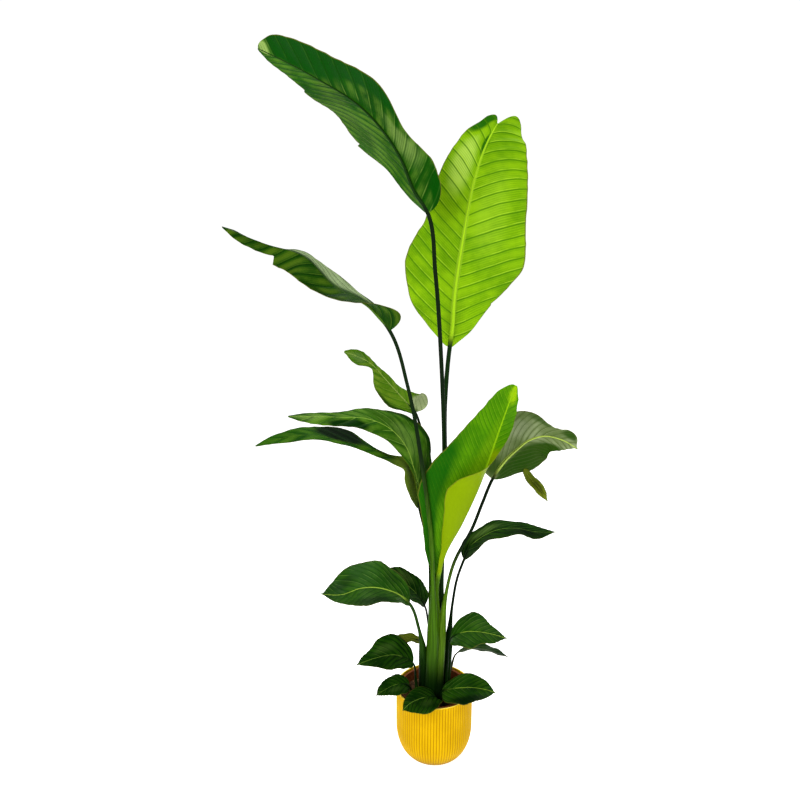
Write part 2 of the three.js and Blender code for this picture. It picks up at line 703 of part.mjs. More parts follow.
function potSolid() {
  const outside = turn(0, 2 * RIB_COUNT, 1);
  const ribTop = POT_HEIGHT - RIM_BAND;
  outside.push(roundRing(POT_RADIUS, ribTop, 2 * RIB_COUNT, RIB_DEPTH));
  outside.push(roundRing(POT_RADIUS, POT_HEIGHT, 2 * RIB_COUNT));
  const inside = turn(POT_WALL, ROUND_POINTS, 0);
  inside.push(roundRing(POT_RADIUS - POT_WALL, POT_HEIGHT + CUT_PAST, ROUND_POINTS));
  return loft(outside).subtract(loft(inside));
}

function linerRadius(height) {
  const share = (height - LINER_FOOT) / (LINER_TOP - LINER_FOOT);
  return THREE.MathUtils.lerp(LINER_FOOT_RADIUS, LINER_TOP_RADIUS - LINER_LIP, share);
}

function linerSolid() {
  const lipStart = LINER_TOP - LINER_LIP_HEIGHT;
  const body = loft([
    roundRing(LINER_FOOT_RADIUS, LINER_FOOT, ROUND_POINTS),
    roundRing(linerRadius(lipStart), lipStart, ROUND_POINTS),
    roundRing(LINER_TOP_RADIUS, lipStart + LINER_LIP_SLOPE, ROUND_POINTS),
    roundRing(LINER_TOP_RADIUS, LINER_TOP, ROUND_POINTS),
  ]);
  const hollow = loft(
    [LINER_FOOT + LINER_WALL, LINER_TOP + CUT_PAST].map((height) =>
      roundRing(linerRadius(height) - LINER_WALL, height, ROUND_POINTS),
    ),
  );
  return body.subtract(hollow).subtract(wasm.Manifold.union(drainCutters()));
}

// Round bars that cut the drain holes in the floor of the nursery pot
function drainCutters() {
  const length = LINER_WALL + 2 * CUT_PAST;
  const reach = LINER_FOOT_RADIUS * DRAIN_REACH;
  const cutters = [];
  for (let i = 0; i < DRAIN_HOLES; i++) {
    const angle = (2 * Math.PI * i) / DRAIN_HOLES;
    const bar = new THREE.CylinderGeometry(DRAIN_RADIUS, DRAIN_RADIUS, length, DRAIN_SIDES);
    bar.rotateX(Math.PI / 2);
    bar.translate(reach * Math.cos(angle), reach * Math.sin(angle), LINER_FOOT + LINER_WALL / 2);
    cutters.push(solidOf(bar));
  }
  return cutters;
}

// Soil: a plug that fills the liner, its top rolling gently and cut by a hole for each stalk
function soilTop(x, y) {
  const [broad, narrow] = SOIL_ROLLS;
  const rolls = broad * Math.sin(x / 17 + 0.6) * Math.cos(y / 14) + narrow * Math.sin(x / 7 - y / 9);
  return SOIL_TOP + rolls + SOIL_CROWN * (1 - Math.hypot(x, y) / LINER_TOP_RADIUS);
}

function soilSolid(stalks) {
  const radiusAt = (height) => linerRadius(height) - LINER_WALL - GAP;
  const foot = LINER_FOOT + LINER_WALL + GAP;
  const edge = SOIL_TOP - SOIL_EDGE_DROP;
  const rings = [foot, edge].map((height) => roundRing(radiusAt(height), height, ROUND_POINTS));
  for (const share of SOIL_SHARES) {
    const ring = roundRing(radiusAt(edge) * share, edge, ROUND_POINTS);
    for (const point of ring) point.z = soilTop(point.x, point.y);
    rings.push(ring);
  }
  return loft(rings).subtract(wasm.Manifold.union(stalks));
}

const root = new THREE.Group();
root.name = "potted_bird_of_paradise";

function addNode(name, made, slot) {
  const mesh = made.getMesh();
  const geometry = new THREE.BufferGeometry();
  const positions = new Float32Array(mesh.vertProperties);
  geometry.setAttribute("position", new THREE.BufferAttribute(positions, 3));
  geometry.setIndex(new THREE.BufferAttribute(new Uint32Array(mesh.triVerts), 1));
  const material = new THREE.MeshStandardMaterial({
    ...FINISHES[slot],
    metalness: 0,
    flatShading: true,
  });
  material.name = slot;
  const node = new THREE.Mesh(geometry, material);
  node.name = name;
  root.add(node);
}

// A leaf gives way to the stalks listed before it, as an outer sheath does to those it holds
function clearOf(whole, stalks, name) {
  if (stalks.length === 0) return whole;
  const bodies = whole.subtract(wasm.Manifold.union(stalks)).decompose();
  bodies.sort((a, b) => b.volume() - a.volume());
  const kept = bodies[0].volume() / whole.volume();
  if (kept < LEAST_LEFT) throw new Error(`${name} is cut through: ${kept.toFixed(2)} of it is left`);
  return bodies[0];
}

const wideStalks = [];
for (const leaf of LEAVES) {
  const path = new Path([...leaf.stalk, ...leaf.rib]);
  const stalkLength = path.reach[leaf.stalk.length - 1];
  let blade = bladeSolid(leaf, path, stalkLength);
  if (leaf.lobe) blade = blade.add(bladeSolid(leaf.lobe, new Path(leaf.lobe.rib), 0));
  const stalk = stalkSolid(leaf, path, stalkLength);
  addNode(leaf.name, clearOf(blade.add(stalk), wideStalks, leaf.name), leaf.colour);
  wideStalks.push(stalkSolid(leaf, path, stalkLength, STALK_CLEARANCE));
}
addNode("outer_pot", potSolid(), "pot");
addNode("nursery_pot", linerSolid(), "liner");
addNode("soil", soilSolid(wideStalks), "soil");

export default root;
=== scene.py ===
# %% [markdown]
# # A potted bird of paradise
# The plant is a clump of long-stalked, paddle-shaped leaves in a thin brown nursery pot, which
# stands in a ribbed yellow cover pot. The imported model already gives each piece its place and
# its size, in metres. Here each one gets the finer shape and the finish that the eye sees.
# The imported model is loaded first and never changed.

# %% Load the imported model
import math
import random

import bpy
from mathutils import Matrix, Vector, noise


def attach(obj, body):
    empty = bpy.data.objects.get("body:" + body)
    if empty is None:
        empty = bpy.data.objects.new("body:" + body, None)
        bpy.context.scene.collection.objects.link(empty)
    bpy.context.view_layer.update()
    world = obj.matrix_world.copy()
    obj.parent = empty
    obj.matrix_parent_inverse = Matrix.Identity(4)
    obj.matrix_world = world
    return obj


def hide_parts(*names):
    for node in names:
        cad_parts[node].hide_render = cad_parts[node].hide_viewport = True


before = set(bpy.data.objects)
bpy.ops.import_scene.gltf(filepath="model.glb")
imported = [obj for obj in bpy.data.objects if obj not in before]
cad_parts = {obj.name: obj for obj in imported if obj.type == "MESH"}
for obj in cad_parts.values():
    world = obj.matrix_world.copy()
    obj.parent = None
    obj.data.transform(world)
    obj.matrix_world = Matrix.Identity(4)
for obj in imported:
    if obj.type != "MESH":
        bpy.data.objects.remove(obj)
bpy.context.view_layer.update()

print(len(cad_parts), "pieces in the packed model")

# %% [markdown]
# ## Camera
# The photograph was taken from a little above the middle of the plant, looking slightly down.
# The distance and the tilt were found from the width of the pot, the height of its ellipse and
# the height of the top leaf. Depth of field stays off, so every leaf is sharp.

# %% Set the camera
CAMERA_PLACE = (0, -1.915, 1.537)
CAMERA_TILT = 13.75  # degrees below the horizon
CAMERA_TURN = 2.97  # degrees to the left of straight ahead
LENS = 33.75  # focal length in millimetres
SENSOR_WIDTH = 36

camera = bpy.data.objects.new("camera", bpy.data.cameras.new("camera"))
camera.data.lens = LENS
camera.data.sensor_width = SENSOR_WIDTH
camera.location = CAMERA_PLACE
camera.rotation_euler = (math.radians(90 - CAMERA_TILT), 0, math.radians(CAMERA_TURN))
bpy.context.scene.collection.objects.link(camera)
bpy.context.scene.camera = camera
print("camera at", CAMERA_PLACE)

# %% [markdown]
# ## Floor and surround
# A white studio: a pale floor that runs on to the horizon, and a white surround. The surround
# gives the plant much less light than it shows to the camera, because a room that is white all
# round would lay a grey veil of reflections over the dark leaves. The floor glows too, so that
# it meets the surround without a line.

# %% Floor and surround
FLOOR_SIZE = 60
FLOOR_COLOUR = (0.92, 0.92, 0.91, 1)
FLOOR_GLOW = 0.76
WHITE = (1, 1, 1, 1)
SURROUND_LIGHT = 0.3  # what the surround gives to the plant
SURROUND_SEEN = 1.05  # what it shows to the camera

bpy.ops.object.select_all(action="DESELECT")
bpy.ops.mesh.primitive_plane_add(size=FLOOR_SIZE)
floor = bpy.context.object
floor.name = "floor"

floor_paint = bpy.data.materials.new("pale floor")
floor_paint.use_nodes = True
floor_shader = floor_paint.node_tree.nodes["Principled BSDF"]
for name, value in (
    ("Base Color", FLOOR_COLOUR), ("Roughness", 0.9), ("Specular IOR Level", 0.1),
    ("Emission Color", WHITE), ("Emission Strength", FLOOR_GLOW),
):
    floor_shader.inputs[name].default_value = value
floor.data.materials.append(floor_paint)

surround = bpy.data.worlds.new("white surround")
surround.use_nodes = True
surround_nodes = surround.node_tree.nodes
surround_links = surround.node_tree.links
backdrop = surround_nodes["Background"]
backdrop.inputs["Color"].default_value = WHITE
ray = surround_nodes.new("ShaderNodeLightPath")
strength = surround_nodes.new("ShaderNodeMapRange")
strength.inputs["To Min"].default_value = SURROUND_LIGHT
strength.inputs["To Max"].default_value = SURROUND_SEEN
surround_links.new(ray.outputs["Is Camera Ray"], strength.inputs["Value"])
surround_links.new(strength.outputs["Result"], backdrop.inputs["Strength"])
bpy.context.scene.world = surround
bpy.context.scene.view_settings.view_transform = "Standard"
print("a floor of", FLOOR_SIZE, "m and a surround")

# %% [markdown]
# ## Lamps
# Three large soft lamps shape the leaves. The strongest stands in front at the left and a weak
# one in front at the right, so both light what faces the camera. The third hangs above, a
# little behind the plant, and brings out the upper faces.

# %% Lamps
PLANT_MIDDLE = Vector((0, 0, 1.0))


def soft_lamp(name, place, size, power):
    """A large square lamp at place that shines at the middle of the plant."""
    lamp = bpy.data.objects.new(name, bpy.data.lights.new(name, "AREA"))
    lamp.data.shape = "SQUARE"
    lamp.data.size = size
    lamp.data.energy = power
    lamp.location = place
    lamp.rotation_euler = (PLANT_MIDDLE - Vector(place)).to_track_quat("-Z", "Y").to_euler()
    bpy.context.scene.collection.objects.link(lamp)


soft_lamp("lamp left", (-1.7, -3.0, 2.5), 2.0, 130)
soft_lamp("lamp right", (2.4, -2.2, 1.8), 2.0, 45)
soft_lamp("lamp above", (0.4, 0.9, 3.6), 2.2, 110)
print("3 soft lamps shine at", tuple(PLANT_MIDDLE))

# %% [markdown]
# ## The plan of the leaves
# A leaf is one curved stalk that runs on as the midrib of a blade. Everything about its form
# follows from a few lists, in millimetres: the points that the stalk and the midrib pass
# through, the width of each half of the blade at equal steps from base to tip, which way the
# upper face looks, and how far each half lifts or rolls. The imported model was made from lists
# like these. Here some tips are blunter and some widths are nearer to the photograph.

# %% Plans of the seven large leaves
# stalk, rib: points from the soil to the neck, and from there to the tip.
# face: direction of the upper face. left, right: width of each half.
# lift: degrees that each half rises. curl: degrees that it bends on the way out.
# wave: height of the waves at the edge, how many there are, and where they start.
# girth: half width of the stalk at its foot, in its middle and at the neck.
# sheath: how far up the stalk is wide. slant: how far the rows of a half lean to the tip.
# tears: the half, where, how wide and how deep. lobe: a small part that hangs at the base.
LEAVES = {}
LEAVES["leaf_upper_left"] = dict(
    stalk=[
        (-12, -20, 140), (-6, -28, 485), (-14, -40, 700), (-40, -60, 920), (-75, -75, 1120),
        (-120, -90, 1265),
    ],
    rib=[
        (-165, -100, 1325), (-250, -125, 1375), (-320, -145, 1448), (-400, -170, 1475),
        (-490, -205, 1515),
    ],
    face=[(0.5, -0.1, 0.8), (0.4, -0.1, 0.9), (0.3, -0.1, 0.9)],
    left=[70, 50, 42, 54, 50, 32, 8], right=[40, 70, 105, 110, 90, 50, 8],
    lift=[(70, 25, -20, -60, -55, -60, -50), (10, -4, 4, -4, -16, -14, 0)],
    wave=[3, 3, 0.4], girth=[13, 7, 5], sheath=430, slant=[0.1, 0.15, 0.1],
    tears=[(0, 0.72, 0.28, 0.5)],
)
LEAVES["leaf_left_glossy"] = dict(
    stalk=[(-34, -12, 140), (-36, -22, 365), (-45, -40, 425), (-70, -60, 510)],
    rib=[
        (-95, -70, 540), (-125, -90, 565), (-160, -105, 580), (-195, -120, 585), (-245, -145, 578),
        (-295, -165, 590),
    ],
    face=[(0.3, -0.33, 0.9), (0, -0.33, 0.95), (-0.1, -0.33, 0.95)],
    left=[16, 36, 60, 78, 70, 35, 0], right=[20, 66, 82, 76, 62, 38, 0],
    lift=[(13, 13, 13), (13, 13, 13)],
    wave=[4, 3, 0.4], girth=[11, 5, 4.5], sheath=290,
)
LEAVES["leaf_right_upper"] = dict(
    stalk=[
        (10, -16, 140), (16, -14, 330), (28, 0, 500), (50, 8, 600), (101, 20, 705), (126, 25, 775),
        (152, 35, 840),
    ],
    rib=[
        (180, 45, 885), (215, 55, 918), (250, 60, 945), (290, 60, 957), (335, 53, 950), (378, 40, 928),
    ],
    face=[(-0.5, 0.8, 0.2), (-0.3, 0.95, 0.2), (0, 0.9, 0.4)],
    left=[42, 82, 102, 92, 56, 34, 0], right=[60, 104, 122, 124, 122, 108, 92, 70, 38, 28, 34, 26, 0],
    lift=[(5, 5, 5), (5, 5, 5)],
    wave=[2, 3, 0.4], girth=[10, 5, 4.5], sheath=400, slant=[0.15, 0.2, 0.25, 0.3],
    lobe=dict(
        rib=[(243, 88, 853), (260, 88, 826), (281, 86, 804), (298, 84, 781), (311, 82, 761)],
        face=[(0.35, -0.85, 0.4)],
        left=[8, 12, 14, 12, 0], right=[8, 14, 16, 12, 0],
        lift=[(8,), (8,)],
        wave=[1, 2, 0.4], girth=[1.5, 1.5, 1.5],
    ),
)
LEAVES["leaf_centre_rolled"] = dict(
    stalk=[(0, -4, 140), (4, -8, 400), (5, -14, 560)],
    rib=[
        (22, -24, 640), (66, -42, 740), (110, -52, 850), (139, -60, 942), (164, -56, 1022),
        (197, -40, 1120),
    ],
    face=[(-0.1, -1, 0.2), (-0.1, -1, 0.25), (-0.1, -1, 0.3)],
    left=[4, 66, 138, 134, 98, 60, 25], right=[4, 14, 22, 48, 70, 92, 78, 64, 37, 33, 30, 22, 14],
    lift=[(15, 10, 5), (110, 120, 115, 110, 60, 15, -10)], curl=[(0,), (60, 70, 70, 70, 30, 0, 0)],
    wave=[3, 2, 0.4], girth=[11, 9, 7], sheath=420,
)
LEAVES["leaf_right_middle"] = dict(
    stalk=[(30, 14, 140), (42, 22, 385), (50, 28, 475), (60, 38, 535), (80, 46, 595)],
    rib=[
        (95, 50, 630), (125, 50, 660), (165, 45, 685), (220, 40, 695), (275, 30, 690), (330, 20, 695),
    ],
    face=[(-0.6, -0.3, 0.7), (-0.1, 0, 1), (0.1, -0.05, 1)],
    left=[20, 40, 50, 48, 42, 28, 0], right=[20, 45, 55, 60, 55, 40, 0],
    lift=[(10, 3, 3), (10, 3, 3)],
    wave=[4, 3, 0.4], girth=[10, 4.5, 3.8], sheath=320,
)
LEAVES["leaf_top_left"] = dict(
    stalk=[
        (10, 16, 140), (16, 16, 485), (18, 2, 960), (8, -8, 1170), (-10, -20, 1400), (-30, -30, 1545),
    ],
    rib=[(-65, -40, 1605), (-90, -45, 1665), (-180, -60, 1780), (-295, -75, 1850), (-418, -90, 1908)],
    face=[(0.5, 0.75, 0.5), (0.4, 0.6, 0.7), (0.3, 0.6, 0.7)],
    left=[60, 82, 56, 108, 92, 82, 34], right=[24, 62, 138, 123, 96, 56, 14],
    lift=[(10, 0, -5, -5, 0), (25, 12, 12, 12, 8)],
    wave=[5, 3.2, 0.4], girth=[10, 7, 5], sheath=420,
    tears=[(1, 0.36, 0.14, 0.1), (1, 0.735, 0.15, 0.12)],
)
LEAVES["leaf_top_right"] = dict(
    stalk=[(-6, 26, 140), (12, 36, 485), (25, 50, 770), (20, 60, 1055), (30, 60, 1200)],
    rib=[
        (35, 60, 1240), (40, 55, 1330), (60, 60, 1485), (85, 80, 1625), (120, 115, 1725),
        (145, 140, 1770),
    ],
    face=[(-0.1, 1, 0), (-0.1, 1, -0.1), (0, 0.9, 0.3)],
    left=[14, 56, 95, 136, 169, 167, 156, 149, 138, 121, 100, 70, 42],
    right=[26, 66, 106, 127, 136, 119, 100, 92, 86, 75, 60, 38, 18],
    lift=[(10, 5, 5, 5, 5), (10, 5, 5, 5, 5)],
    wave=[3, 3, 1],
    girth=[10, 7, 6],
    sheath=420,
    slant=[0.1, 0.11, 0.12, 0.14, 0.16, 0.2, 0.25, 0.36, 0.5, 0.62, 0.75, 1, 2.6],
    tears=[(0, 0.17, 0.03, 0.04)],
)
print(len(LEAVES), "large leaves")

# %% Plans of the three leaves at the middle left
LEAVES["leaf_middle_left_upper"] = dict(
    stalk=[(-22, 6, 140), (-10, 2, 485), (-4, 0, 600), (-20, 0, 720), (-40, 0, 790)],
    rib=[
        (-60, -10, 875), (-85, -20, 950), (-125, -35, 1000), (-180, -55, 1030), (-250, -80, 1040),
        (-375, -115, 1050),
    ],
    face=[(0.6, -0.6, 0.5), (0.2, -0.25, 0.95), (0.05, -0.1, 1)],
    left=[4, 6, 32, 38, 30, 26, 9], right=[30, 70, 86, 60, 32, 22, 9],
    lift=[(10, -10, -30, -30, -20), (15, 10, 5, 5, 5)],
    wave=[4, 3, 0.4], girth=[7, 5, 4],
)
LEAVES["leaf_middle_left_lower"] = dict(
    stalk=[(-38, 14, 140), (-16, 14, 485), (-22, 20, 640), (-48, 15, 760)],
    rib=[
        (-64, 10, 846), (-84, 0, 896), (-118, -10, 914), (-175, -30, 942), (-240, -55, 968),
        (-330, -85, 993), (-460, -120, 973),
    ],
    face=[(0.6, -0.6, 0.5), (0.1, -0.15, 1), (-0.05, -0.1, 1)],
    left=[20, 46, 34, 15, 15, 20, 9], right=[10, 30, 25, 16, 5, 8, 60, 66, 58, 50, 34, 22, 9],
    lift=[(15, 10, -20, -20, -10), (15, 10, 5, 5, 5)],
    wave=[4, 3, 1.4], girth=[6, 4, 3],
)
LEAVES["leaf_middle_left_short"] = dict(
    stalk=[
        (-26, 28, 140), (-14, 18, 485), (-16, 32, 760), (-30, 58, 900), (-45, 66, 970),
        (-60, 58, 1018),
    ],
    rib=[(-80, 30, 1050), (-110, 25, 1085), (-140, 20, 1120), (-175, 15, 1160), (-245, 0, 1195)],
    face=[(0.4, -0.8, 0.45), (0.4, -0.8, 0.45), (0.3, -0.7, 0.6)],
    left=[8, 20, 52, 44, 12, 25, 7], right=[66, 44, 16, 14, 8, 18, 8],
    lift=[(10, 10, 10), (10, 10, 10)],
    wave=[3, 3, 0.4], girth=[6, 4.5, 3.5], slant=[-0.55, 0.15, 0.2],
)
print(len(LEAVES), "leaves with those at the middle left")

# %% Plans of the small leaves near the pot
LEAVES["leaf_left_behind"] = dict(
    stalk=[(-12, 44, 140), (-20, 36, 400), (-30, 30, 455)],
    rib=[(-50, 26, 490), (-75, 20, 520), (-105, 10, 545), (-140, 0, 550), (-175, -10, 545)],
    face=[(0.3, -0.33, 0.9), (0, -0.33, 0.95), (-0.1, -0.33, 0.95)],
    left=[15, 30, 50, 55, 45, 30, 0], right=[34, 42, 42, 42, 36, 24, 0],
    lift=[(13, 13, 13), (13, 13, 13)],
    wave=[3, 3, 0.4], girth=[5, 3.5, 3],
)
LEAVES["leaf_left_olive"] = dict(
    stalk=[(-30, 32, 140), (-30, 30, 300), (-38, 28, 338)],
    rib=[(-55, 22, 352), (-90, 8, 360), (-125, -8, 350)],
    face=[(0.2, -0.1, 1), (0, -0.1, 1), (0, -0.1, 1)],
    left=[15, 18, 20, 20, 18, 12, 0], right=[15, 18, 20, 20, 18, 12, 0],
    lift=[(10, 10, 10), (10, 10, 10)],
    wave=[2, 3, 0.4], girth=[4, 3, 2.5],
)
LEAVES["leaf_left_low"] = dict(
    stalk=[(-52, -24, 140), (-53, -40, 270), (-60, -55, 325)],
    rib=[(-80, -65, 347), (-110, -80, 365), (-150, -100, 370), (-180, -110, 365), (-210, -125, 360)],
    face=[(0.3, -0.33, 0.9), (0, -0.33, 0.95), (-0.1, -0.33, 0.95)],
    left=[20, 40, 58, 60, 40, 20, 0], right=[25, 50, 60, 52, 32, 18, 0],
    lift=[(13, 13, 13), (13, 13, 13)],
    wave=[3, 3, 0.4], girth=[4, 3, 2.6],
)
LEAVES["leaf_rim_left"] = dict(
    stalk=[(-58, -34, 140), (-60, -36, 205), (-70, -42, 240)],
    rib=[(-90, -54, 258), (-112, -70, 264), (-135, -88, 262), (-160, -100, 250)],
    face=[(0.3, -0.35, 0.9), (0, -0.35, 0.93), (-0.2, -0.35, 0.9)],
    left=[15, 30, 38, 38, 30, 15, 0], right=[15, 25, 28, 26, 22, 15, 0],
    lift=[(8, 8, 8), (8, 8, 8)],
    wave=[2, 3, 0.4], girth=[3.5, 3, 2.5],
)
LEAVES["leaf_rim_front"] = dict(
    stalk=[(-4, -42, 140), (0, -44, 190), (5, -50, 214)],
    rib=[(-18, -72, 231), (-45, -95, 238), (-68, -112, 235), (-85, -128, 226)],
    face=[(0.2, -0.3, 1), (0, -0.35, 0.93), (-0.2, -0.4, 0.9)],
    left=[25, 42, 60, 64, 52, 30, 0], right=[15, 28, 34, 32, 24, 14, 0],
    lift=[(28, 16, 8), (8, 8, 8)],
    wave=[2, 3, 0.4], girth=[3.5, 3, 2.6],
)
LEAVES["leaf_rim_right"] = dict(
    stalk=[(16, -26, 140), (18, -26, 190), (22, -26, 216)],
    rib=[(45, -35, 232), (80, -45, 245), (110, -55, 253), (140, -64, 255), (170, -70, 250)],
    face=[(-0.3, -0.25, 1), (0, -0.25, 1), (0.1, -0.25, 1)],
    left=[12, 36, 47, 45, 35, 20, 0], right=[25, 50, 62, 64, 50, 28, 0],
    lift=[(5, 5, 5), (5, 5, 5)],
    wave=[2, 3, 0.4], girth=[4, 3.5, 3],
)
LEAVES["leaf_right_low"] = dict(
    stalk=[(36, 0, 140), (37, 0, 300), (45, -8, 375)],
    rib=[(60, -20, 396), (85, -35, 415), (120, -50, 425), (155, -65, 428), (195, -80, 425)],
    face=[(-0.3, -0.33, 0.9), (0, -0.33, 0.95), (0.1, -0.33, 0.95)],
    left=[20, 48, 60, 50, 28, 14, 0], right=[15, 45, 65, 66, 45, 30, 0],
    lift=[(10, 10, 10), (10, 10, 10)],
    wave=[3, 3, 0.4], girth=[4, 3.5, 3],
)
LEAVES["leaf_right_narrow"] = dict(
    stalk=[(38, 26, 140), (48, 22, 262), (65, 24, 312)],
    rib=[(90, 20, 325), (125, 15, 334), (165, 5, 332), (210, -8, 322)],
    face=[(-0.3, 0.35, 0.9), (0, 0.35, 0.93), (0.1, 0.35, 0.93)],
    left=[15, 30, 42, 42, 35, 20, 0], right=[15, 30, 42, 42, 35, 20, 0],
    lift=[(5, 5, 5), (5, 5, 5)],
    wave=[2, 3, 0.4], girth=[3.5, 2.6, 2.2],
)
print(len(LEAVES), "leaves in all")

# %% [markdown]
# ## The look of each leaf
# No two leaves of the plant are the same colour: some are in full light, some are old and dark,
# some are seen from below. So a second list says, for each leaf, how many side veins it has, how
# deeply it is pleated and which finishes its faces and its stalk take. Broad paler and darker
# places are given too, as painted light and painted shade, because that is where this plant's
# folds catch the light or turn away from it.

# %% Looks of the large leaves
def look(veins, lean, pleat, upper="dark green", under="dark green", stem="black-green", **more):
    """How one leaf is drawn and finished.

    veins: how many side veins each half has. lean: how far they run towards the tip, in shares
    of the half's width, on the left and on the right half. pleat: how high the folds between
    them stand. upper, under, stem: the finishes.
    painted light and shade: places that are paler (over 0) or darker (under 0) as painted light
    or painted shade: how far along, how far across from -1 at the left edge to 1 at the right,
    how long and how wide they are, and how strong.
    smooth: the halves or the stretches that have no veins, given as half, from, to."""
    return dict(veins=veins, lean=lean, pleat=pleat, upper=upper, under=under, stem=stem, **more)


LOOKS = {}
LOOKS["leaf_upper_left"] = look(
    veins=13, lean=(1.2, 0.9), pleat=0.05, upper="olive-streaked green", stem="mid to black-green",
    tones=[
        (0.4, 0.6, 0.36, 0.62, 1.3), (0.04, 0.6, 0.12, 0.6, -0.6), (0.86, 0.0, 0.18, 1.0, -0.35),
        (0.3, -0.9, 0.4, 0.3, -0.5), (0.72, 0.2, 0.06, 0.5, -0.5),
    ],
)
LOOKS["leaf_left_glossy"] = look(
    veins=11, lean=(1.6, 1.4), pleat=0.045, upper="glossy green", stem="mid green",
    tones=[(0.7, 0.5, 0.2, 0.4, -0.5), (0.2, 0.6, 0.15, 0.4, -0.4), (0.5, -0.8, 0.4, 0.4, -0.6)],
)
LOOKS["leaf_right_upper"] = look(
    veins=12, lean=(1.7, 1.5), pleat=0.045, upper="grey-green", under="grey-green",
    stem="light to black-green",
    tones=[
        (0.3, -0.8, 0.55, 1.0, -2.2), (0.6, -0.9, 0.34, 0.6, -1.4), (0.1, 0.3, 0.14, 0.7, -0.8),
        (0.86, 0.7, 0.12, 0.6, -0.9), (0.62, 0.85, 0.14, 0.3, -0.7), (0.45, 0.5, 0.16, 0.4, 0.3),
    ],
)
LOOKS["leaf_centre_rolled"] = look(
    veins=38, lean=(1.2, 1.0), pleat=0.05, upper="bright green", under="smooth lime",
    stem="light green",
    tones=[
        (0.3, -0.95, 0.55, 0.6, -1.5), (0.08, -0.5, 0.14, 0.7, -0.7), (0.97, 0.3, 0.08, 0.8, 0.9),
        (0.62, -0.1, 0.4, 0.35, 0.3),
    ],
    smooth=[(1, 0.0, 0.68)],
)
LOOKS["leaf_right_middle"] = look(
    veins=10, lean=(2.0, 1.4), pleat=0.045,
    tones=[(0.3, -0.4, 0.25, 0.5, 0.5), (0.75, 0.3, 0.25, 0.8, -0.5)],
)
LOOKS["leaf_top_left"] = look(
    veins=15, lean=(0.7, 1.9), pleat=0.05, upper="deep green", under="striped olive",
    tones=[
        (1.0, -0.4, 0.08, 1.0, 3.2), (0.84, -0.6, 0.34, 0.9, -1.7), (0.56, -0.9, 0.3, 0.5, -1.5),
        (0.3, -0.5, 0.18, 0.7, 0.5), (0.05, -0.8, 0.15, 0.5, -1.2), (0.4, 0.6, 0.3, 0.6, 0.2),
    ],
)
# its underside is painted as if lit through from behind
LOOKS["leaf_top_right"] = look(
    veins=19, lean=(0.45, 0.8), pleat=0.075, upper="fresh green", under="bright underside",
    stem="lime rib",
    tones=[
        (0.95, 0.9, 0.16, 0.5, -1.3), (0.88, 0.06, 0.08, 0.16, -1.0), (0.74, 0.5, 0.18, 0.5, 0.9),
        (0.55, -0.4, 0.3, 0.5, 0.2), (0.1, 0.0, 0.12, 0.5, -0.3),
    ],
)
print(len(LOOKS), "looks of large leaves")

# %% Looks of the other leaves
LOOKS["leaf_middle_left_upper"] = look(
    veins=9, lean=(2.0, 2.2), pleat=0.04, upper="lit green", stem="mid to black-green",
    tones=[
        (0.9, 0.0, 0.14, 1.0, 0.4), (0.68, -0.7, 0.17, 0.75, -1.3), (0.34, 0.25, 0.2, 0.6, 0.35),
        (0.12, 0.5, 0.14, 0.5, -0.6), (0.3, 0.95, 0.3, 0.18, -0.9),
    ],
)
LOOKS["leaf_middle_left_lower"] = look(
    veins=9, lean=(2.0, 2.0), pleat=0.03, upper="green with olive", stem="mid to black-green",
    tones=[
        (0.85, 0.3, 0.16, 1.0, -0.1), (0.58, 0.5, 0.17, 0.9, -1.5), (0.36, 0.3, 0.12, 0.9, -0.8),
        (0.06, 0.0, 0.16, 1.4, 0.3),
    ],
    smooth=[(0, 0.0, 0.3), (1, 0.0, 0.3)],
)
LOOKS["leaf_middle_left_short"] = look(
    veins=9, lean=(1.8, 1.8), pleat=0.04, upper="olive-lit green", under="olive-lit green",
    tones=[(0.08, 0.6, 0.16, 0.75, 1.6), (0.3, -1.0, 0.32, 0.3, -1.0), (0.86, 0.0, 0.16, 1.0, 0.2)],
)
LOOKS["leaf_left_behind"] = look(
    veins=8, lean=(1.4, 1.4), pleat=0.04,
    tones=[(0.5, 0.5, 0.3, 0.5, 0.3)],
)
LOOKS["leaf_left_olive"] = look(veins=7, lean=(1.2, 1.2), pleat=0.03, upper="olive", under="olive")
LOOKS["leaf_left_low"] = look(veins=8, lean=(1.4, 1.4), pleat=0.04, tones=[(0.5, 0.4, 0.3, 0.4, 0.3)])
LOOKS["leaf_rim_left"] = look(veins=7, lean=(1.4, 1.4), pleat=0.03, tones=[(0.5, -0.4, 0.3, 0.4, 0.3)])
LOOKS["leaf_rim_front"] = look(
    veins=7, lean=(1.4, 1.4), pleat=0.03,
    tones=[(0.4, -0.4, 0.25, 0.4, 0.25)],
)
LOOKS["leaf_rim_right"] = look(
    veins=8, lean=(1.4, 1.4), pleat=0.04, upper="glossy green", stem="mid to black-green",
    tones=[(0.5, 0.8, 0.5, 0.5, -0.9)],
)
LOOKS["leaf_right_low"] = look(
    veins=8, lean=(1.4, 1.4), pleat=0.04, upper="glossy green",
    tones=[(0.5, -0.4, 0.3, 0.5, 0.15)],
)
LOOKS["leaf_right_narrow"] = look(
    veins=7, lean=(1.4, 1.4), pleat=0.03, stem="reddish",
    tones=[(0.5, 0.0, 0.3, 0.5, 0.2)],
)
print(len(LOOKS), "looks in all")

# %% [markdown]
# ## The curve that a leaf follows
# Stalk and midrib are one smooth line through the points of the plan. A Blender curve could
# draw it, but the blade needs the place and the direction at any distance, so the line is
# worked out here: between two points it is a cubic that meets its neighbours without a kink.

# %% A smooth line through points
END_BEND = 0.5  # how much of the first and last bend runs on into the ends of a line


def mix(a, b, share):
    return a + (b - a) * share


def smooth_step(value, low, high):
    share = min(max((value - low) / (high - low), 0), 1)
    return share * share * (3 - 2 * share)


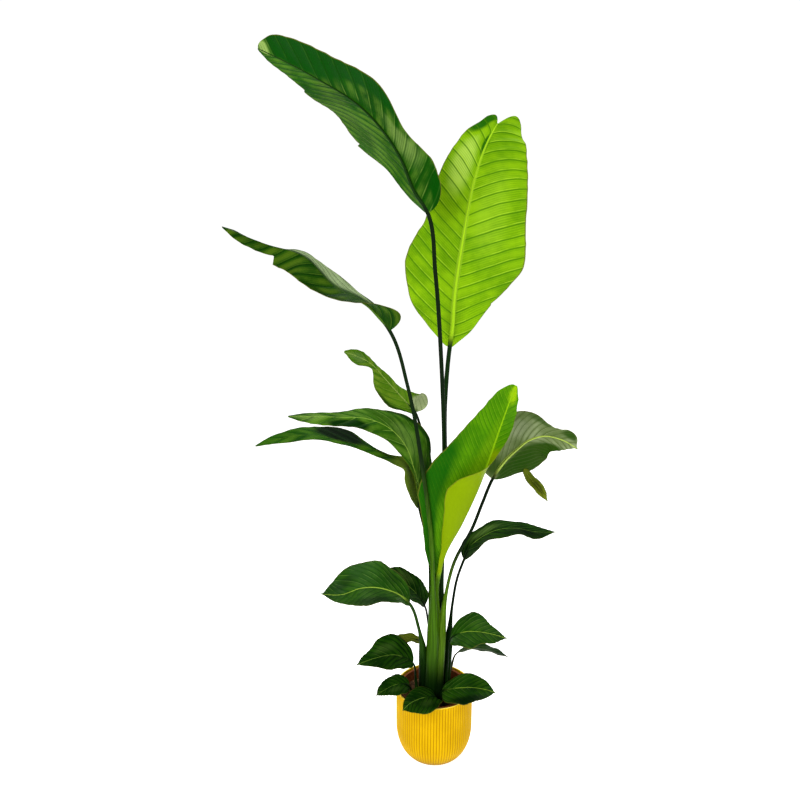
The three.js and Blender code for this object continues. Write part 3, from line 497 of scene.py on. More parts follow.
def cubic(u):
    """Weights of the first point, its slope, the second point and its slope at u from 0 to 1."""
    return 2 * u**3 - 3 * u**2 + 1, u**3 - 2 * u**2 + u, 3 * u**2 - 2 * u**3, u**3 - u**2


class Line:
    """A smooth line through points, read by the distance along the straight ways between them."""

    def __init__(self, points):
        self.points = [Vector(point) for point in points]
        ways = [b - a for a, b in zip(self.points, self.points[1:])]
        self.reach = [0]
        for way in ways:
            self.reach.append(self.reach[-1] + way.length)
        self.length = self.reach[-1]
        slopes = [way.normalized() for way in ways]
        inner = [
            (a * after.length + b * before.length) / (before.length + after.length)
            for a, b, before, after in zip(slopes, slopes[1:], ways, ways[1:])
        ]
        first = slopes[0] * (1 + END_BEND) - inner[0] * END_BEND
        last = slopes[-1] * (1 + END_BEND) - inner[-1] * END_BEND
        self.slopes = [first, *inner, last]

    def at(self, distance):
        """The place and the forward direction at a distance from the start."""
        i = 0
        while i < len(self.reach) - 2 and distance > self.reach[i + 1]:
            i += 1
        span = self.reach[i + 1] - self.reach[i]
        u = (distance - self.reach[i]) / span
        a, b = self.points[i], self.points[i + 1]
        start, end = self.slopes[i] * span, self.slopes[i + 1] * span
        w = cubic(u)
        place = a * w[0] + start * w[1] + b * w[2] + end * w[3]
        forward = (
            (a - b) * (6 * u**2 - 6 * u)
            + start * (3 * u**2 - 4 * u + 1)
            + end * (3 * u**2 - 2 * u)
        )
        return place, forward.normalized()


def blend(values, share):
    """Values given at equal steps, read smoothly at a share of the way from 0 to 1."""
    last = len(values) - 1
    if last == 0:
        return values[0]
    i = min(int(share * last), last - 1)
    slopes = []
    for k in (i, i + 1):
        rise = values[min(k + 1, last)] - values[max(k - 1, 0)]
        slopes.append(rise if k in (0, last) else rise / 2)
    w = cubic(share * last - i)
    return w[0] * values[i] + w[1] * slopes[0] + w[2] * values[i + 1] + w[3] * slopes[1]


bent = Line([(0, 0, 0), (0, 0, 300), (0, 90, 600)])
print("a stalk of three points is", round(bent.length), "mm")

# %% [markdown]
# ## The form of a blade
# A blade is a thin sheet on both sides of the midrib. Each half has a width that changes along
# the leaf and wavers a little at its edge, where it may be torn, and it rises or rolls from the
# midrib. Its rows of points lean towards the tip, and most of all close to the midrib, so that
# they run nearly as the side veins do and a fold along a vein comes out clean.

# %% The edge of a blade
ROUND_BASE = 0.08  # share of the blade over which its base is rounded off
ROUND_TIP = 0.1
EDGE_WAVES = 16  # how quickly the edge wavers along a blade
EDGE_WAVER = 3  # how far in, in millimetres
HALVES_APART = 5  # keeps the two edges of a blade from wavering alike
LEAST_WIDTH = 1  # of a half, in millimetres
TEAR_STEP = 0.006  # share of the blade over which a tear cuts in


def torn(leaf, half, t):
    """Share of the width that the tears leave at t: each cuts in at once and runs slowly out."""
    left_over = 1
    for torn_half, at, wide, deep in leaf.get("tears", []):
        if torn_half == half and at < t < at + wide:
            left_over *= 1 - deep * min((t - at) / TEAR_STEP, (at + wide - t) / (wide - TEAR_STEP))
    return left_over


def half_width(leaf, half, t):
    """Width of a half at t, with an edge that wavers inwards a little."""
    from_end = min(t / ROUND_BASE, (1 - t) / ROUND_TIP, 1)
    rounded_off = math.sqrt(1 - (1 - from_end) ** 2)
    width = blend(leaf["right" if half else "left"], t) * rounded_off
    waver = noise.noise(Vector((EDGE_WAVES * t, HALVES_APART * half, leaf["rib"][0][0])))
    width = max(width - EDGE_WAVER * abs(waver) * rounded_off, LEAST_WIDTH)
    return width * torn(leaf, half, t)


widths = [half_width(LEAVES["leaf_top_right"], 0, i / 100) for i in range(101)]
print("the left half of the top right leaf is up to", round(max(widths)), "mm wide")

# %% The rows of a blade
SLANT = [0.15, 0.25, 0.3]  # how far the rows lean to the tip, for each mm outwards
ROW_BOW = 0.6  # how much more they lean beside the midrib than at the edge
WAVE_SHIFT = 2.1  # how far the waves of the right half run ahead, in radians
FLAT_CURL = 1e-4  # a flat half has this bend, so that its arc has a radius
NORMAL_STEP = 0.05  # share of a half between the two points that a normal is read from
MIDRIB_WIDTH = 0.8  # half width of the midrib at the neck, as a share of the stalk's
MIDRIB_LEAST = 1  # half width at the tip, in millimetres


def midrib_half(leaf, t):
    return max(leaf["girth"][2] * MIDRIB_WIDTH * (1 - t), MIDRIB_LEAST)


class Row:
    """What one line of points across a blade needs, worked out once at t along the blade."""

    def __init__(self, leaf, line, start, t):
        self.t = t
        self.place, self.forward = line.at(start + t * (line.length - start))
        face = Vector([blend([f[axis] for f in leaf["face"]], t) for axis in range(3)])
        self.up = (face - self.forward * face.dot(self.forward)).normalized()
        self.across = self.forward.cross(self.up)
        self.rib = midrib_half(leaf, t)
        self.slant = blend(leaf.get("slant", SLANT), t)
        self.halves = []
        widest = max(*leaf["left"], *leaf["right"])
        height, count, phase = leaf["wave"]
        for half in (0, 1):
            width = half_width(leaf, half, t)
            lift = math.radians(blend(leaf["lift"][half], t))
            curl = math.radians(blend(leaf.get("curl", [[0], [0]])[half], t)) or FLAT_CURL
            swing = math.sin(2 * math.pi * count * t + phase + WAVE_SHIFT * half)
            self.halves.append((width, lift, curl, height * swing * width / widest))

    def point(self, half, s):
        """A point of one half, s from 0 beside the midrib to 1 at the edge."""
        width, lift, curl, wave = self.halves[half]
        side = 1 if half else -1
        angle = lift + curl * s
        out = width * (math.sin(angle) - math.sin(lift)) / curl - wave * s**2 * math.sin(angle)
        rise = width * (math.cos(lift) - math.cos(angle)) / curl + wave * s**2 * math.cos(angle)
        bow = ROW_BOW * min((1 - self.t) / ROUND_TIP, 1)
        lean = self.slant * width * s * (1 + bow * (1 - s))
        across = self.across * side * (self.rib + out)
        return self.place + across + self.up * rise + self.forward * lean

    def normal(self, half, s):
        """Out of the upper face at a point of one half."""
        side = 1 if half else -1
        outwards = (self.point(half, s) - self.point(half, s - NORMAL_STEP)) * side
        return outwards.cross(self.forward).normalized()


midrib = 2 * midrib_half(LEAVES["leaf_top_right"], 0)
print("the midrib of the top right leaf is", round(midrib, 1), "mm wide")

# %% [markdown]
# ## From a flat grid to a shape
# Blades, stalks, cover pot and soil all start as a flat grid, and each of its points is moved
# to its place in the plan. No bend or lattice could do that for a leaf that twists and rolls.
# The grid's own map stays on it: u counts the rows and v the columns, so on a blade u runs from
# base to tip and v from the right edge to the left, and a finish can follow the folds. What a
# finish can't see for itself, such as which vein a point lies on, is kept on the points as a
# number. A grid that is rolled up has doubles where its ends meet: they are merged, and its
# normals are then made to look outwards.

# %% Lay a grid
MM = 0.001


def laid_grid(name, rows, columns, place):
    """A grid whose point in row i and column j goes to place(i, j), in millimetres.

    Returns the grid and the row and column of each of its points."""
    bpy.ops.object.select_all(action="DESELECT")
    bpy.ops.mesh.primitive_grid_add(x_subdivisions=rows, y_subdivisions=columns, size=1)
    sheet = bpy.context.object
    sheet.name = name
    sheet.data.name = name
    cells = []
    for point in sheet.data.vertices:
        i, j = round((point.co.x + 0.5) * rows), round((point.co.y + 0.5) * columns)
        point.co = place(i, j) * MM
        cells.append((i, j))
    return sheet, cells


def note(sheet, name, values):
    """Keeps one number for each point of a mesh, for its finish to read."""
    kept = sheet.data.attributes.new(name, "FLOAT", "POINT")
    kept.data.foreach_set("value", values)


print("plans are in mm, and a mm is", MM, "in Blender")

# %% Close a rolled grid
SAME_PLACE = 1e-6  # points closer than this are merged


def close_up(piece):
    """Merges the doubles of a rolled grid and turns its faces outwards."""
    bpy.ops.object.select_all(action="DESELECT")
    piece.select_set(True)
    bpy.context.view_layer.objects.active = piece
    bpy.ops.object.mode_set(mode="EDIT")
    bpy.ops.mesh.select_all(action="SELECT")
    bpy.ops.mesh.remove_doubles(threshold=SAME_PLACE)
    bpy.ops.mesh.normals_make_consistent(inside=False)
    bpy.ops.object.mode_set(mode="OBJECT")
    bpy.ops.object.shade_smooth()


print("doubles are points within", SAME_PLACE, "m")

# %% [markdown]
# ## Veins, pleats and painted light and shade
# The side veins lean towards the tip more than the rows of points do, so which vein a point lies
# on follows from the difference. Between two veins the blade stands up in a rounded fold. The
# folds are real ones in the mesh, because their shadows are what makes the leaf read as a leaf.
# They fade out beside the midrib and at both ends of the blade, and are low at its edge.

# %% What lies at a point of a blade
VEIN_BEND = 0.3  # how much less a vein leans where it leaves the midrib, as a share
PAINTED_LIGHT_CORE = 0.25  # share of a paler or darker place that has its full strength
SMOOTH_IN, SMOOTH_OUT = 0.03, 0.05  # shares of the blade over which the veins come and go
FOLD_ROUND = 0.7  # under 1 rounds the backs of the folds
FOLD_MIDDLE = 0.6  # height in a fold that stays in the plane of the blade
FOLD_ACROSS = (0, 0.15)  # shares of a half between which the folds rise from the midrib
FOLD_EDGE = (0.8, 1)  # and between which they sink again towards the edge
FOLD_EDGE_LOSS = 0.6  # share of their height that they lose there
FOLD_BASE = (0, 0.08)  # shares of the blade between which they rise from its base
FOLD_TIP = (0.9, 1)  # and between which they end at its tip


def vein_at(look, row, half, s, length):
    """Which vein a point lies on: whole numbers are veins, halves lie midway between two."""
    bend = 1 - VEIN_BEND + VEIN_BEND * s
    lean = (look["lean"][half] - row.slant) * row.halves[half][0] * s * bend
    return look["veins"] * (row.t - lean / length)


def painted_light_at(look, t, across):
    """How much painted light (over 0) or painted shade (under 0) a place of a leaf has."""
    total = 0
    for along, side, long, wide, amount in look.get("tones", []):
        away = math.hypot((t - along) / long, (across - side) / wide)
        total += amount * (1 - smooth_step(away, PAINTED_LIGHT_CORE, 1))
    return total


def smooth_at(look, half, t):
    """1 where a leaf shows no veins, 0 elsewhere."""
    share = 0
    for smooth_half, start, end in look.get("smooth", []):
        if smooth_half == half:
            within = 1 - smooth_step(t, end, end + SMOOTH_OUT)
            share = max(share, smooth_step(t, start - SMOOTH_IN, start) * within)
    return share


def fold_at(look, row, half, s, length):
    """How far the fold between two veins lifts a point, in millimetres."""
    fade = smooth_step(s, *FOLD_ACROSS) * (1 - FOLD_EDGE_LOSS * smooth_step(s, *FOLD_EDGE))
    fade *= smooth_step(row.t, *FOLD_BASE)
    fade *= (1 - smooth_step(row.t, *FOLD_TIP)) * (1 - smooth_at(look, half, row.t))
    fold = abs(math.sin(math.pi * vein_at(look, row, half, s, length))) ** FOLD_ROUND
    return (fold - FOLD_MIDDLE) * fade * look["pleat"] * length / look["veins"]


print("the top right leaf has", LOOKS["leaf_top_right"]["veins"], "veins in each half")

# %% [markdown]
# ## From a grid to a blade
# The rows of the grid are laid across the midrib and its columns along it. The middle column
# sinks a little, as the channel above the midrib. Rows lie closer together at both ends, where
# the outline turns quickest. Solidify then gives the sheet its thickness and the lower face its
# own finish.

# %% The sheet of a blade
BLADE_THICKNESS = 0.8
CHANNEL_DEPTH = 0.6  # of the channel above the midrib, as a share of the midrib's half width
CLOSER_ENDS = 0.5  # 0 for rows at even steps, 1 for rows much closer at the ends
ROLL = 1.5  # height of the slow unevenness of a blade
ROLL_SIZE = 45
ROLL_ACROSS = (0, 0.3)  # share of a half over which it starts


def blade(name, leaf, look, line, start, rows, columns):
    """The sheet of a blade; columns is the number of cells in each half, from midrib to edge."""
    length = line.length - start
    even = [i / rows for i in range(rows + 1)]
    closer = [(1 - math.cos(math.pi * e)) * CLOSER_ENDS / 2 for e in even]
    spread = [(1 - CLOSER_ENDS) * e + c for e, c in zip(even, closer)]
    lines = [Row(leaf, line, start, t) for t in spread]
    middle = columns + 1

    def half_and_share(j):
        """The half that a column is in, and how far out in it."""
        if j == middle:
            return 0, 0
        return (1, (columns - j) / columns) if j < middle else (0, (j - middle - 1) / columns)

    def place(i, j):
        row = lines[i]
        if j == middle:
            return row.place - row.up * CHANNEL_DEPTH * row.rib
        half, s = half_and_share(j)
        at = row.point(half, s)
        roll = noise.noise(at / ROLL_SIZE) * ROLL * smooth_step(s, *ROLL_ACROSS)
        return at + row.normal(half, s) * (fold_at(look, row, half, s, length) + roll)

    sheet, cells = laid_grid(name, rows, 2 * columns + 2, place)
    for corner in sheet.data.uv_layers[0].data:
        u, v = corner.uv
        corner.uv = (spread[round(u * rows)], v)
    spots = [(lines[i], *half_and_share(j)) for i, j in cells]
    note(sheet, "vein", [vein_at(look, row, half, s, length) for row, half, s in spots])
    # the painted light (over 0) and painted shade (under 0) of each point
    note(sheet, "tone", [painted_light_at(look, row.t, s if half else -s) for row, half, s in spots])
    note(sheet, "smooth", [smooth_at(look, half, row.t) for row, half, s in spots])
    wall = sheet.modifiers.new("thickness", "SOLIDIFY")
    wall.thickness = BLADE_THICKNESS * MM
    wall.offset = 0
    wall.use_even_offset = False
    # the lower face and the edge take the second finish
    wall.material_offset = wall.material_offset_rim = 1
    bpy.ops.object.modifier_apply(modifier=wall.name)
    bpy.ops.object.shade_smooth()
    return sheet


print("a blade is", BLADE_THICKNESS, "mm thick")

# %% [markdown]
# ## From a grid to a stalk
# The stalk is a leaf's own stem: a wide sheath low down, where it wraps the younger stalks, a
# slim channelled stem above, and then the midrib that stands out below the blade and thins
# away to the tip. One tube makes all three, because they are one piece on the plant. It is a
# grid rolled round the line, with both ends drawn in to a point.

# %% Roll a grid into a stalk
STALK_SIDES = 20
STEM_STEP, MIDRIB_STEP = 12, 9  # length of a ring of faces below the blade and on it
LEAST_RINGS = 12
STALK_OVERLAP = 14  # how far the stem runs on past the base of the blade
SHEATH_LENGTH = 200
SHEATH_END = 0.4  # share of the sheath over which it narrows
SHEATH_SPREAD = 0.35  # how much wider it is from side to side than from front to back
STEM_CHANNEL = 0.3  # depth of the channel on the upper side, as a share of the radius
SHEATH_CHANNEL_LOSS = 0.6  # how much less of it the sheath has
CHANNEL_SHARP = 6  # a higher number makes the channel narrower
MIDRIB_RINGS = 5  # rings over which the stem turns into the midrib
MIDRIB_SHADE = (-1, 3)  # rings from the end of the stem between which its colour starts
MIDRIB_DROP = 1.5  # how far the midrib stands out below, as a share of the stalk's half width
MIDRIB_LEAST_DROP = 0.9
MIDRIB_COVER = 1.05  # the midrib is this much wider than the gap between the halves


def stalk(name, leaf, line, start):
    """The stalk and midrib of a leaf as one closed tube."""
    foot, middle, neck = leaf["girth"]
    sheath_length = leaf.get("sheath", SHEATH_LENGTH)
    reach = start + STALK_OVERLAP
    end = Row(leaf, line, start, 0)
    # the foot lies square to the camera and turns to the blade's own direction on the way up
    first_across = Vector((1, 0, 0)) if end.across.x >= 0 else Vector((-1, 0, 0))
    stem_rings = max(round(reach / STEM_STEP), LEAST_RINGS)
    midrib_rings = max(round((line.length - reach) / MIDRIB_STEP), LEAST_RINGS)

    def stem_ring(i):
        """Middle, sideways half axis and upward half axis of one ring, and its channel."""
        u = i / stem_rings
        at, forward = line.at(u * reach)
        side = first_across.lerp(end.across, smooth_step(u, 0, 1))
        side = (side - forward * side.dot(forward)).normalized()
        if i == 0:
            return at, side * 0, side * 0, 0
        sheath = smooth_step(sheath_length - u * reach, 0, SHEATH_END * sheath_length)
        radius = mix(middle, neck, u) + (foot - middle) * sheath
        wide = radius * (1 + SHEATH_SPREAD * sheath)
        channel = STEM_CHANNEL * (1 - SHEATH_CHANNEL_LOSS * sheath)
        return at, side * wide, side.cross(forward) * radius, channel

    def midrib_ring(i):
        """The same for a ring on the blade, counted from the end of the stem."""
        t = (reach + i / midrib_rings * (line.length - reach) - start) / (line.length - start)
        row = Row(leaf, line, start, min(t, 1))
        fade = smooth_step(i, 0, MIDRIB_RINGS)
        deep = mix(neck, max(neck * MIDRIB_DROP * (1 - t), MIDRIB_LEAST_DROP) / 2, fade)
        drop = mix(0, deep + CHANNEL_DEPTH * row.rib / 2, fade)
        wide = mix(neck, row.rib * MIDRIB_COVER, fade)
        if i == midrib_rings:
            wide = deep = 0
        return row.place - row.up * drop, row.across * wide, row.up * deep, STEM_CHANNEL * (1 - fade)

    rings = [stem_ring(i) for i in range(stem_rings + 1)]
    rings += [midrib_ring(i) for i in range(1, midrib_rings + 1)]

    def place(i, j):
        at, side, up, channel = rings[i]
        angle = 2 * math.pi * j / STALK_SIDES
        sunk = channel * max(math.sin(angle), 0) ** CHANNEL_SHARP
        return at + side * math.cos(angle) + up * math.sin(angle) * (1 - sunk)

    tube, cells = laid_grid(name, len(rings) - 1, STALK_SIDES, place)
    note(tube, "upwards", [min(i / stem_rings, 1) for i, j in cells])
    note(tube, "on blade", [smooth_step(i - stem_rings, *MIDRIB_SHADE) for i, j in cells])
    close_up(tube)
    return tube


print("a stalk has", STALK_SIDES, "sides")

# %% [markdown]
# ## Finishes of the leaves
# A leaf of this plant is leathery and satin. Its upper face is a deep green with paler side
# veins and a pale midrib; its underside is duller and lighter. The veins, the midrib and the
# margin are the same kind of drawing on every leaf, so one node group draws them as masks from
# the blade's own map, and each finish then chooses its colours for them. A small class keeps
# the steps of a pattern short enough to read.

# %% Helpers for node trees
def colour(red, green, blue):
    """A colour given as it looks on a screen, from 0 to 255, made linear for a shader."""
    channels = [c / 255 for c in (red, green, blue)]
    linear = [c / 12.92 if c <= 0.04045 else ((c + 0.055) / 1.055) ** 2.4 for c in channels]
    return (*linear, 1)


class Tree:
    """Adds nodes to a tree and joins them, so that a pattern reads as a list of steps."""

    def __init__(self, tree):
        self.tree = tree

    def add(self, kind, **inputs):
        """A node; the keyword inputs are numbers, colours or outputs of other nodes."""
        node = self.tree.nodes.new("ShaderNode" + kind)
        for name, value in inputs.items():
            self.give(node.inputs[name.replace("_", " ")], value)
        return node

    def give(self, socket, value):
        if isinstance(value, bpy.types.NodeSocket):
            self.tree.links.new(value, socket)
        else:
            socket.default_value = value

    def sum(self, operation, a, b=0.0, c=0.0):
        """A Math node's result."""
        node = self.tree.nodes.new("ShaderNodeMath")
        node.operation = operation
        for socket, value in zip(node.inputs, (a, b, c)):
            self.give(socket, value)
        return node.outputs[0]

    def step(self, value, low, high):
        """0 below low, 1 above high, and a smooth way between."""
        node = self.add("MapRange", Value=value, From_Min=low, From_Max=high)
        node.interpolation_type = "SMOOTHSTEP"
        return node.outputs["Result"]

    def mix(self, share, a, b):
        """A colour between a and b."""
        node = self.tree.nodes.new("ShaderNodeMix")
        node.data_type = "RGBA"
        # these are the numbers of its two colour inputs and its colour output
        self.give(node.inputs["Factor"], share)
        self.give(node.inputs[6], a)
        self.give(node.inputs[7], b)
        return node.outputs[2]

    def where(self):
        """The place of a point on the object."""
        return self.add("TexCoord").outputs["Object"]

    def cloud(self, where, scale, detail, roughness=0.5):
        """A soft random pattern."""
        node = self.add("TexNoise", Vector=where, Scale=scale, Detail=detail, Roughness=roughness)
        return node.outputs["Fac"]

    def noted(self, name):
        """The numbers that were kept on the points of the mesh under a name."""
        node = self.add("Attribute")
        node.attribute_name = name
        return node.outputs["Fac"]


class Finish(Tree):
    """A new material, to which a pattern and then the surface itself are added."""

    def __init__(self, name):
        self.material = bpy.data.materials.new(name)
        self.material.use_nodes = True
        super().__init__(self.material.node_tree)

    def surface(self, base, gloss, roughness, pattern=None, rougher=0.0):
        """The colour, the strength of the reflections, and the roughness, with how much rougher
        the surface is where a pattern is strong."""
        self.shader = self.tree.nodes["Principled BSDF"]
        if pattern:
            roughness = self.sum("MULTIPLY_ADD", pattern, rougher, roughness)
        self.give(self.shader.inputs["Base Color"], base)
        self.give(self.shader.inputs["Roughness"], roughness)
        self.give(self.shader.inputs["Specular IOR Level"], gloss)

    def relief(self, height, strength, distance):
        """Fine bumps that follow a height."""
        bump = self.add("Bump", Strength=strength, Distance=distance, Height=height)
        self.give(self.shader.inputs["Normal"], bump.outputs["Normal"])


print("a mid green is", [round(c, 3) for c in colour(60, 110, 20)])

# %% [markdown]
# ## The drawing of the veins
# The vein number of each point makes the whole drawing: a thin line where it is whole, partly the
# vein and partly painted shade in the groove of the fold, a broken painted highlight beside that
# line where the fold catches the light, a broad stripe of painted light midway between two veins
# on the back of the fold, and fine streaks five times as close. Slow noise makes the lines wander
# and the stripes uneven, so that nothing looks ruled.

# %% The drawing of the veins
WANDER = 0.3  # how far a vein strays, in shares of the way to the next
VEIN_LINE = (0.02, 0.1)  # from a vein outwards, where its line is full and where it ends
RIDGE_BESIDE = 0.13  # how far the painted highlight on the ridge lies from its vein
RIDGE_LINE = (0.01, 0.07)
RIDGE_BREAKS = (0.36, 0.58)
FOLD_LIGHT_FROM_VEIN = (0.08, 0.42)
FOLD_LIGHT_UNEVEN = (0.3, 0.62)
STREAKS_TO_A_VEIN = 5.0
STREAK_LINE = (0.5, 0.1)
STREAK_UNEVEN = (0.75, 0.35)
MARGIN_LINE = (0.965, 0.99)  # shares of the way from the midrib to the edge
MIDRIB_LINE = (0.03, 0.07)
VEIN_DEPTH, STREAK_DEPTH = -0.6, -0.3


def vein_group():
    """The node group that puts out each mark of a leaf as a mask."""
    group = bpy.data.node_groups.new("leaf veins", "ShaderNodeTree")
    tree = Tree(group)
    v = tree.add("SeparateXYZ", Vector=tree.add("UVMap").outputs["UV"]).outputs["Y"]
    out_from_rib = tree.sum("ABSOLUTE", tree.sum("MULTIPLY_ADD", v, 2.0, -1.0))
    # tone holds the painted light (over 0) and painted shade (under 0) of each point
    vein_number, tone, smooth = [tree.noted(name) for name in ("vein", "tone", "smooth")]
    where = tree.where()
    shows = tree.sum("SUBTRACT", 1.0, smooth)

    def line(distance, ends):
        """1 along a line and 0 away from it."""
        return tree.sum("MULTIPLY", tree.sum("SUBTRACT", 1.0, tree.step(distance, *ends)), shows)

    wandering = tree.sum("MULTIPLY_ADD", tree.cloud(where, 9.0, 2.0), WANDER, vein_number)
    near = tree.sum("PINGPONG", wandering, 0.5)
    # the vein line is partly the vein itself and partly painted shade in the groove of the fold
    vein = line(near, VEIN_LINE)
    beside = tree.sum("PINGPONG", tree.sum("SUBTRACT", wandering, RIDGE_BESIDE), 0.5)
    broken = tree.step(tree.cloud(where, 24.0, 2.0), *RIDGE_BREAKS)
    # a broken painted highlight beside each vein, where the fold catches the light
    ridge_highlight = tree.sum("MULTIPLY", line(beside, RIDGE_LINE), broken)
    uneven = tree.cloud(where, 16.0, 3.0)
    # painted light on the back of each fold, midway between two veins
    stripe = tree.step(near, *FOLD_LIGHT_FROM_VEIN)
    stripe = tree.sum("MULTIPLY", stripe, tree.step(uneven, *FOLD_LIGHT_UNEVEN))
    closer = tree.sum("MULTIPLY", wandering, STREAKS_TO_A_VEIN)
    streak = tree.step(tree.sum("PINGPONG", closer, 0.5), *STREAK_LINE)
    streak = tree.sum("MULTIPLY", streak, tree.step(uneven, *STREAK_UNEVEN))
    streak = tree.sum("MULTIPLY", streak, shows)
    masks = {
        "Vein": vein,
        "Ridge_highlight": ridge_highlight,
        "Stripe": tree.sum("MULTIPLY", stripe, shows),
        "Streak": streak,
        "Patch": tree.cloud(where, 7.0, 4.0, 0.6),
        "Rib": tree.sum("SUBTRACT", 1.0, tree.step(out_from_rib, *MIDRIB_LINE)),
        "Edge": tree.step(out_from_rib, *MARGIN_LINE),
        "Painted_light": tone,
        "Smooth": smooth,
        "Height": tree.sum(
            "ADD", tree.sum("MULTIPLY", vein, VEIN_DEPTH), tree.sum("MULTIPLY", streak, STREAK_DEPTH)
        ),
    }
    for name in masks:
        group.interface.new_socket(name, in_out="OUTPUT", socket_type="NodeSocketFloat")
    out = group.nodes.new("NodeGroupOutput")
    for name, value in masks.items():
        group.links.new(value, out.inputs[name])
    return group


VEINS = vein_group()
print("leaf veins:", [item.name for item in VEINS.interface.items_tree])

# %% [markdown]
# ## A leaf's colours and its painted light and shade
# Each finish lays its colours over one another as the masks say: the ground in soft patches
# first, then painted light on the backs of the folds, broad painted light and painted shade,
# streaks, painted highlights beside the veins, veins, midrib and margin. Real leaves of this
# plant are waxy; their shine is painted in as paler colours, as painted reflection, and hardly
# shown as reflections, so all but the glossy ones reflect very little.

# %% Leaf finishes
LEAF_GLOSS = 0.015
SATIN = 0.34  # roughness of a satin surface
MARGIN = colour(96, 92, 30)
MARGIN_STRENGTH = 0.6
PATCHES = (0.35, 0.66)
RIDGE_LOSS = 0.85  # how much of the painted ridge highlights is lost in the painted shade


def leaf_finish(name, shades, marks, plain=None, gloss=LEAF_GLOSS):
    """A satin leaf: its ground in soft patches, and the veins, the midrib and the painted light and
    shade on it.

    shades: dark and light ground, painted light on the backs of the folds, vein, which is partly
    painted shade in its groove, painted highlight beside the vein, broad painted light, broad
    painted shade, midrib.
    marks: how strongly the painted light on the folds, the veins, the painted highlights and the
    fine streaks show.
    plain: the colour where the leaf has no veins, if it isn't that of the broad painted light."""
    # the 3rd, 5th, 6th and 7th shades are painted: light on the folds, highlights, broad light, broad
    # shade
    dark, light, stripe, vein, ridge_highlight, pale, deep, rib = [colour(*shade) for shade in shades]
    fold_lights, veins, ridge_highlights, streaks = marks
    finish = Finish(name)
    drawn = finish.add("Group")
    drawn.node_tree = VEINS
    out = drawn.outputs
    painted_shade = finish.step(out["Painted_light"], 0.0, -1.0)
    ridge_highlights_seen = finish.sum("MULTIPLY_ADD", painted_shade, -RIDGE_LOSS * ridge_highlights, ridge_highlights)
    ground = finish.mix(finish.step(out["Patch"], *PATCHES), dark, light)
    for share, over in (
        # painted light on the backs of the folds
        (finish.sum("MULTIPLY", out["Stripe"], fold_lights), stripe),
        # broad painted light
        (finish.step(out["Painted_light"], 0.0, 1.0), pale),
        (out["Smooth"], colour(*plain) if plain else pale),
        # broad painted shade
        (painted_shade, deep),
        (finish.sum("MULTIPLY", out["Streak"], streaks), vein),
        # painted highlights beside the veins
        (finish.sum("MULTIPLY", out["Ridge_highlight"], ridge_highlights_seen), ridge_highlight),
        # veins, partly painted shade in their grooves
        (finish.sum("MULTIPLY", out["Vein"], veins), vein),
        (out["Rib"], rib),
        (finish.sum("MULTIPLY", out["Edge"], MARGIN_STRENGTH), MARGIN),
    ):
        ground = finish.mix(share, ground, over)
    finish.surface(ground, gloss, SATIN, out["Patch"], 0.16)
    finish.relief(out["Height"], 0.4, 0.0012)
    return finish.material


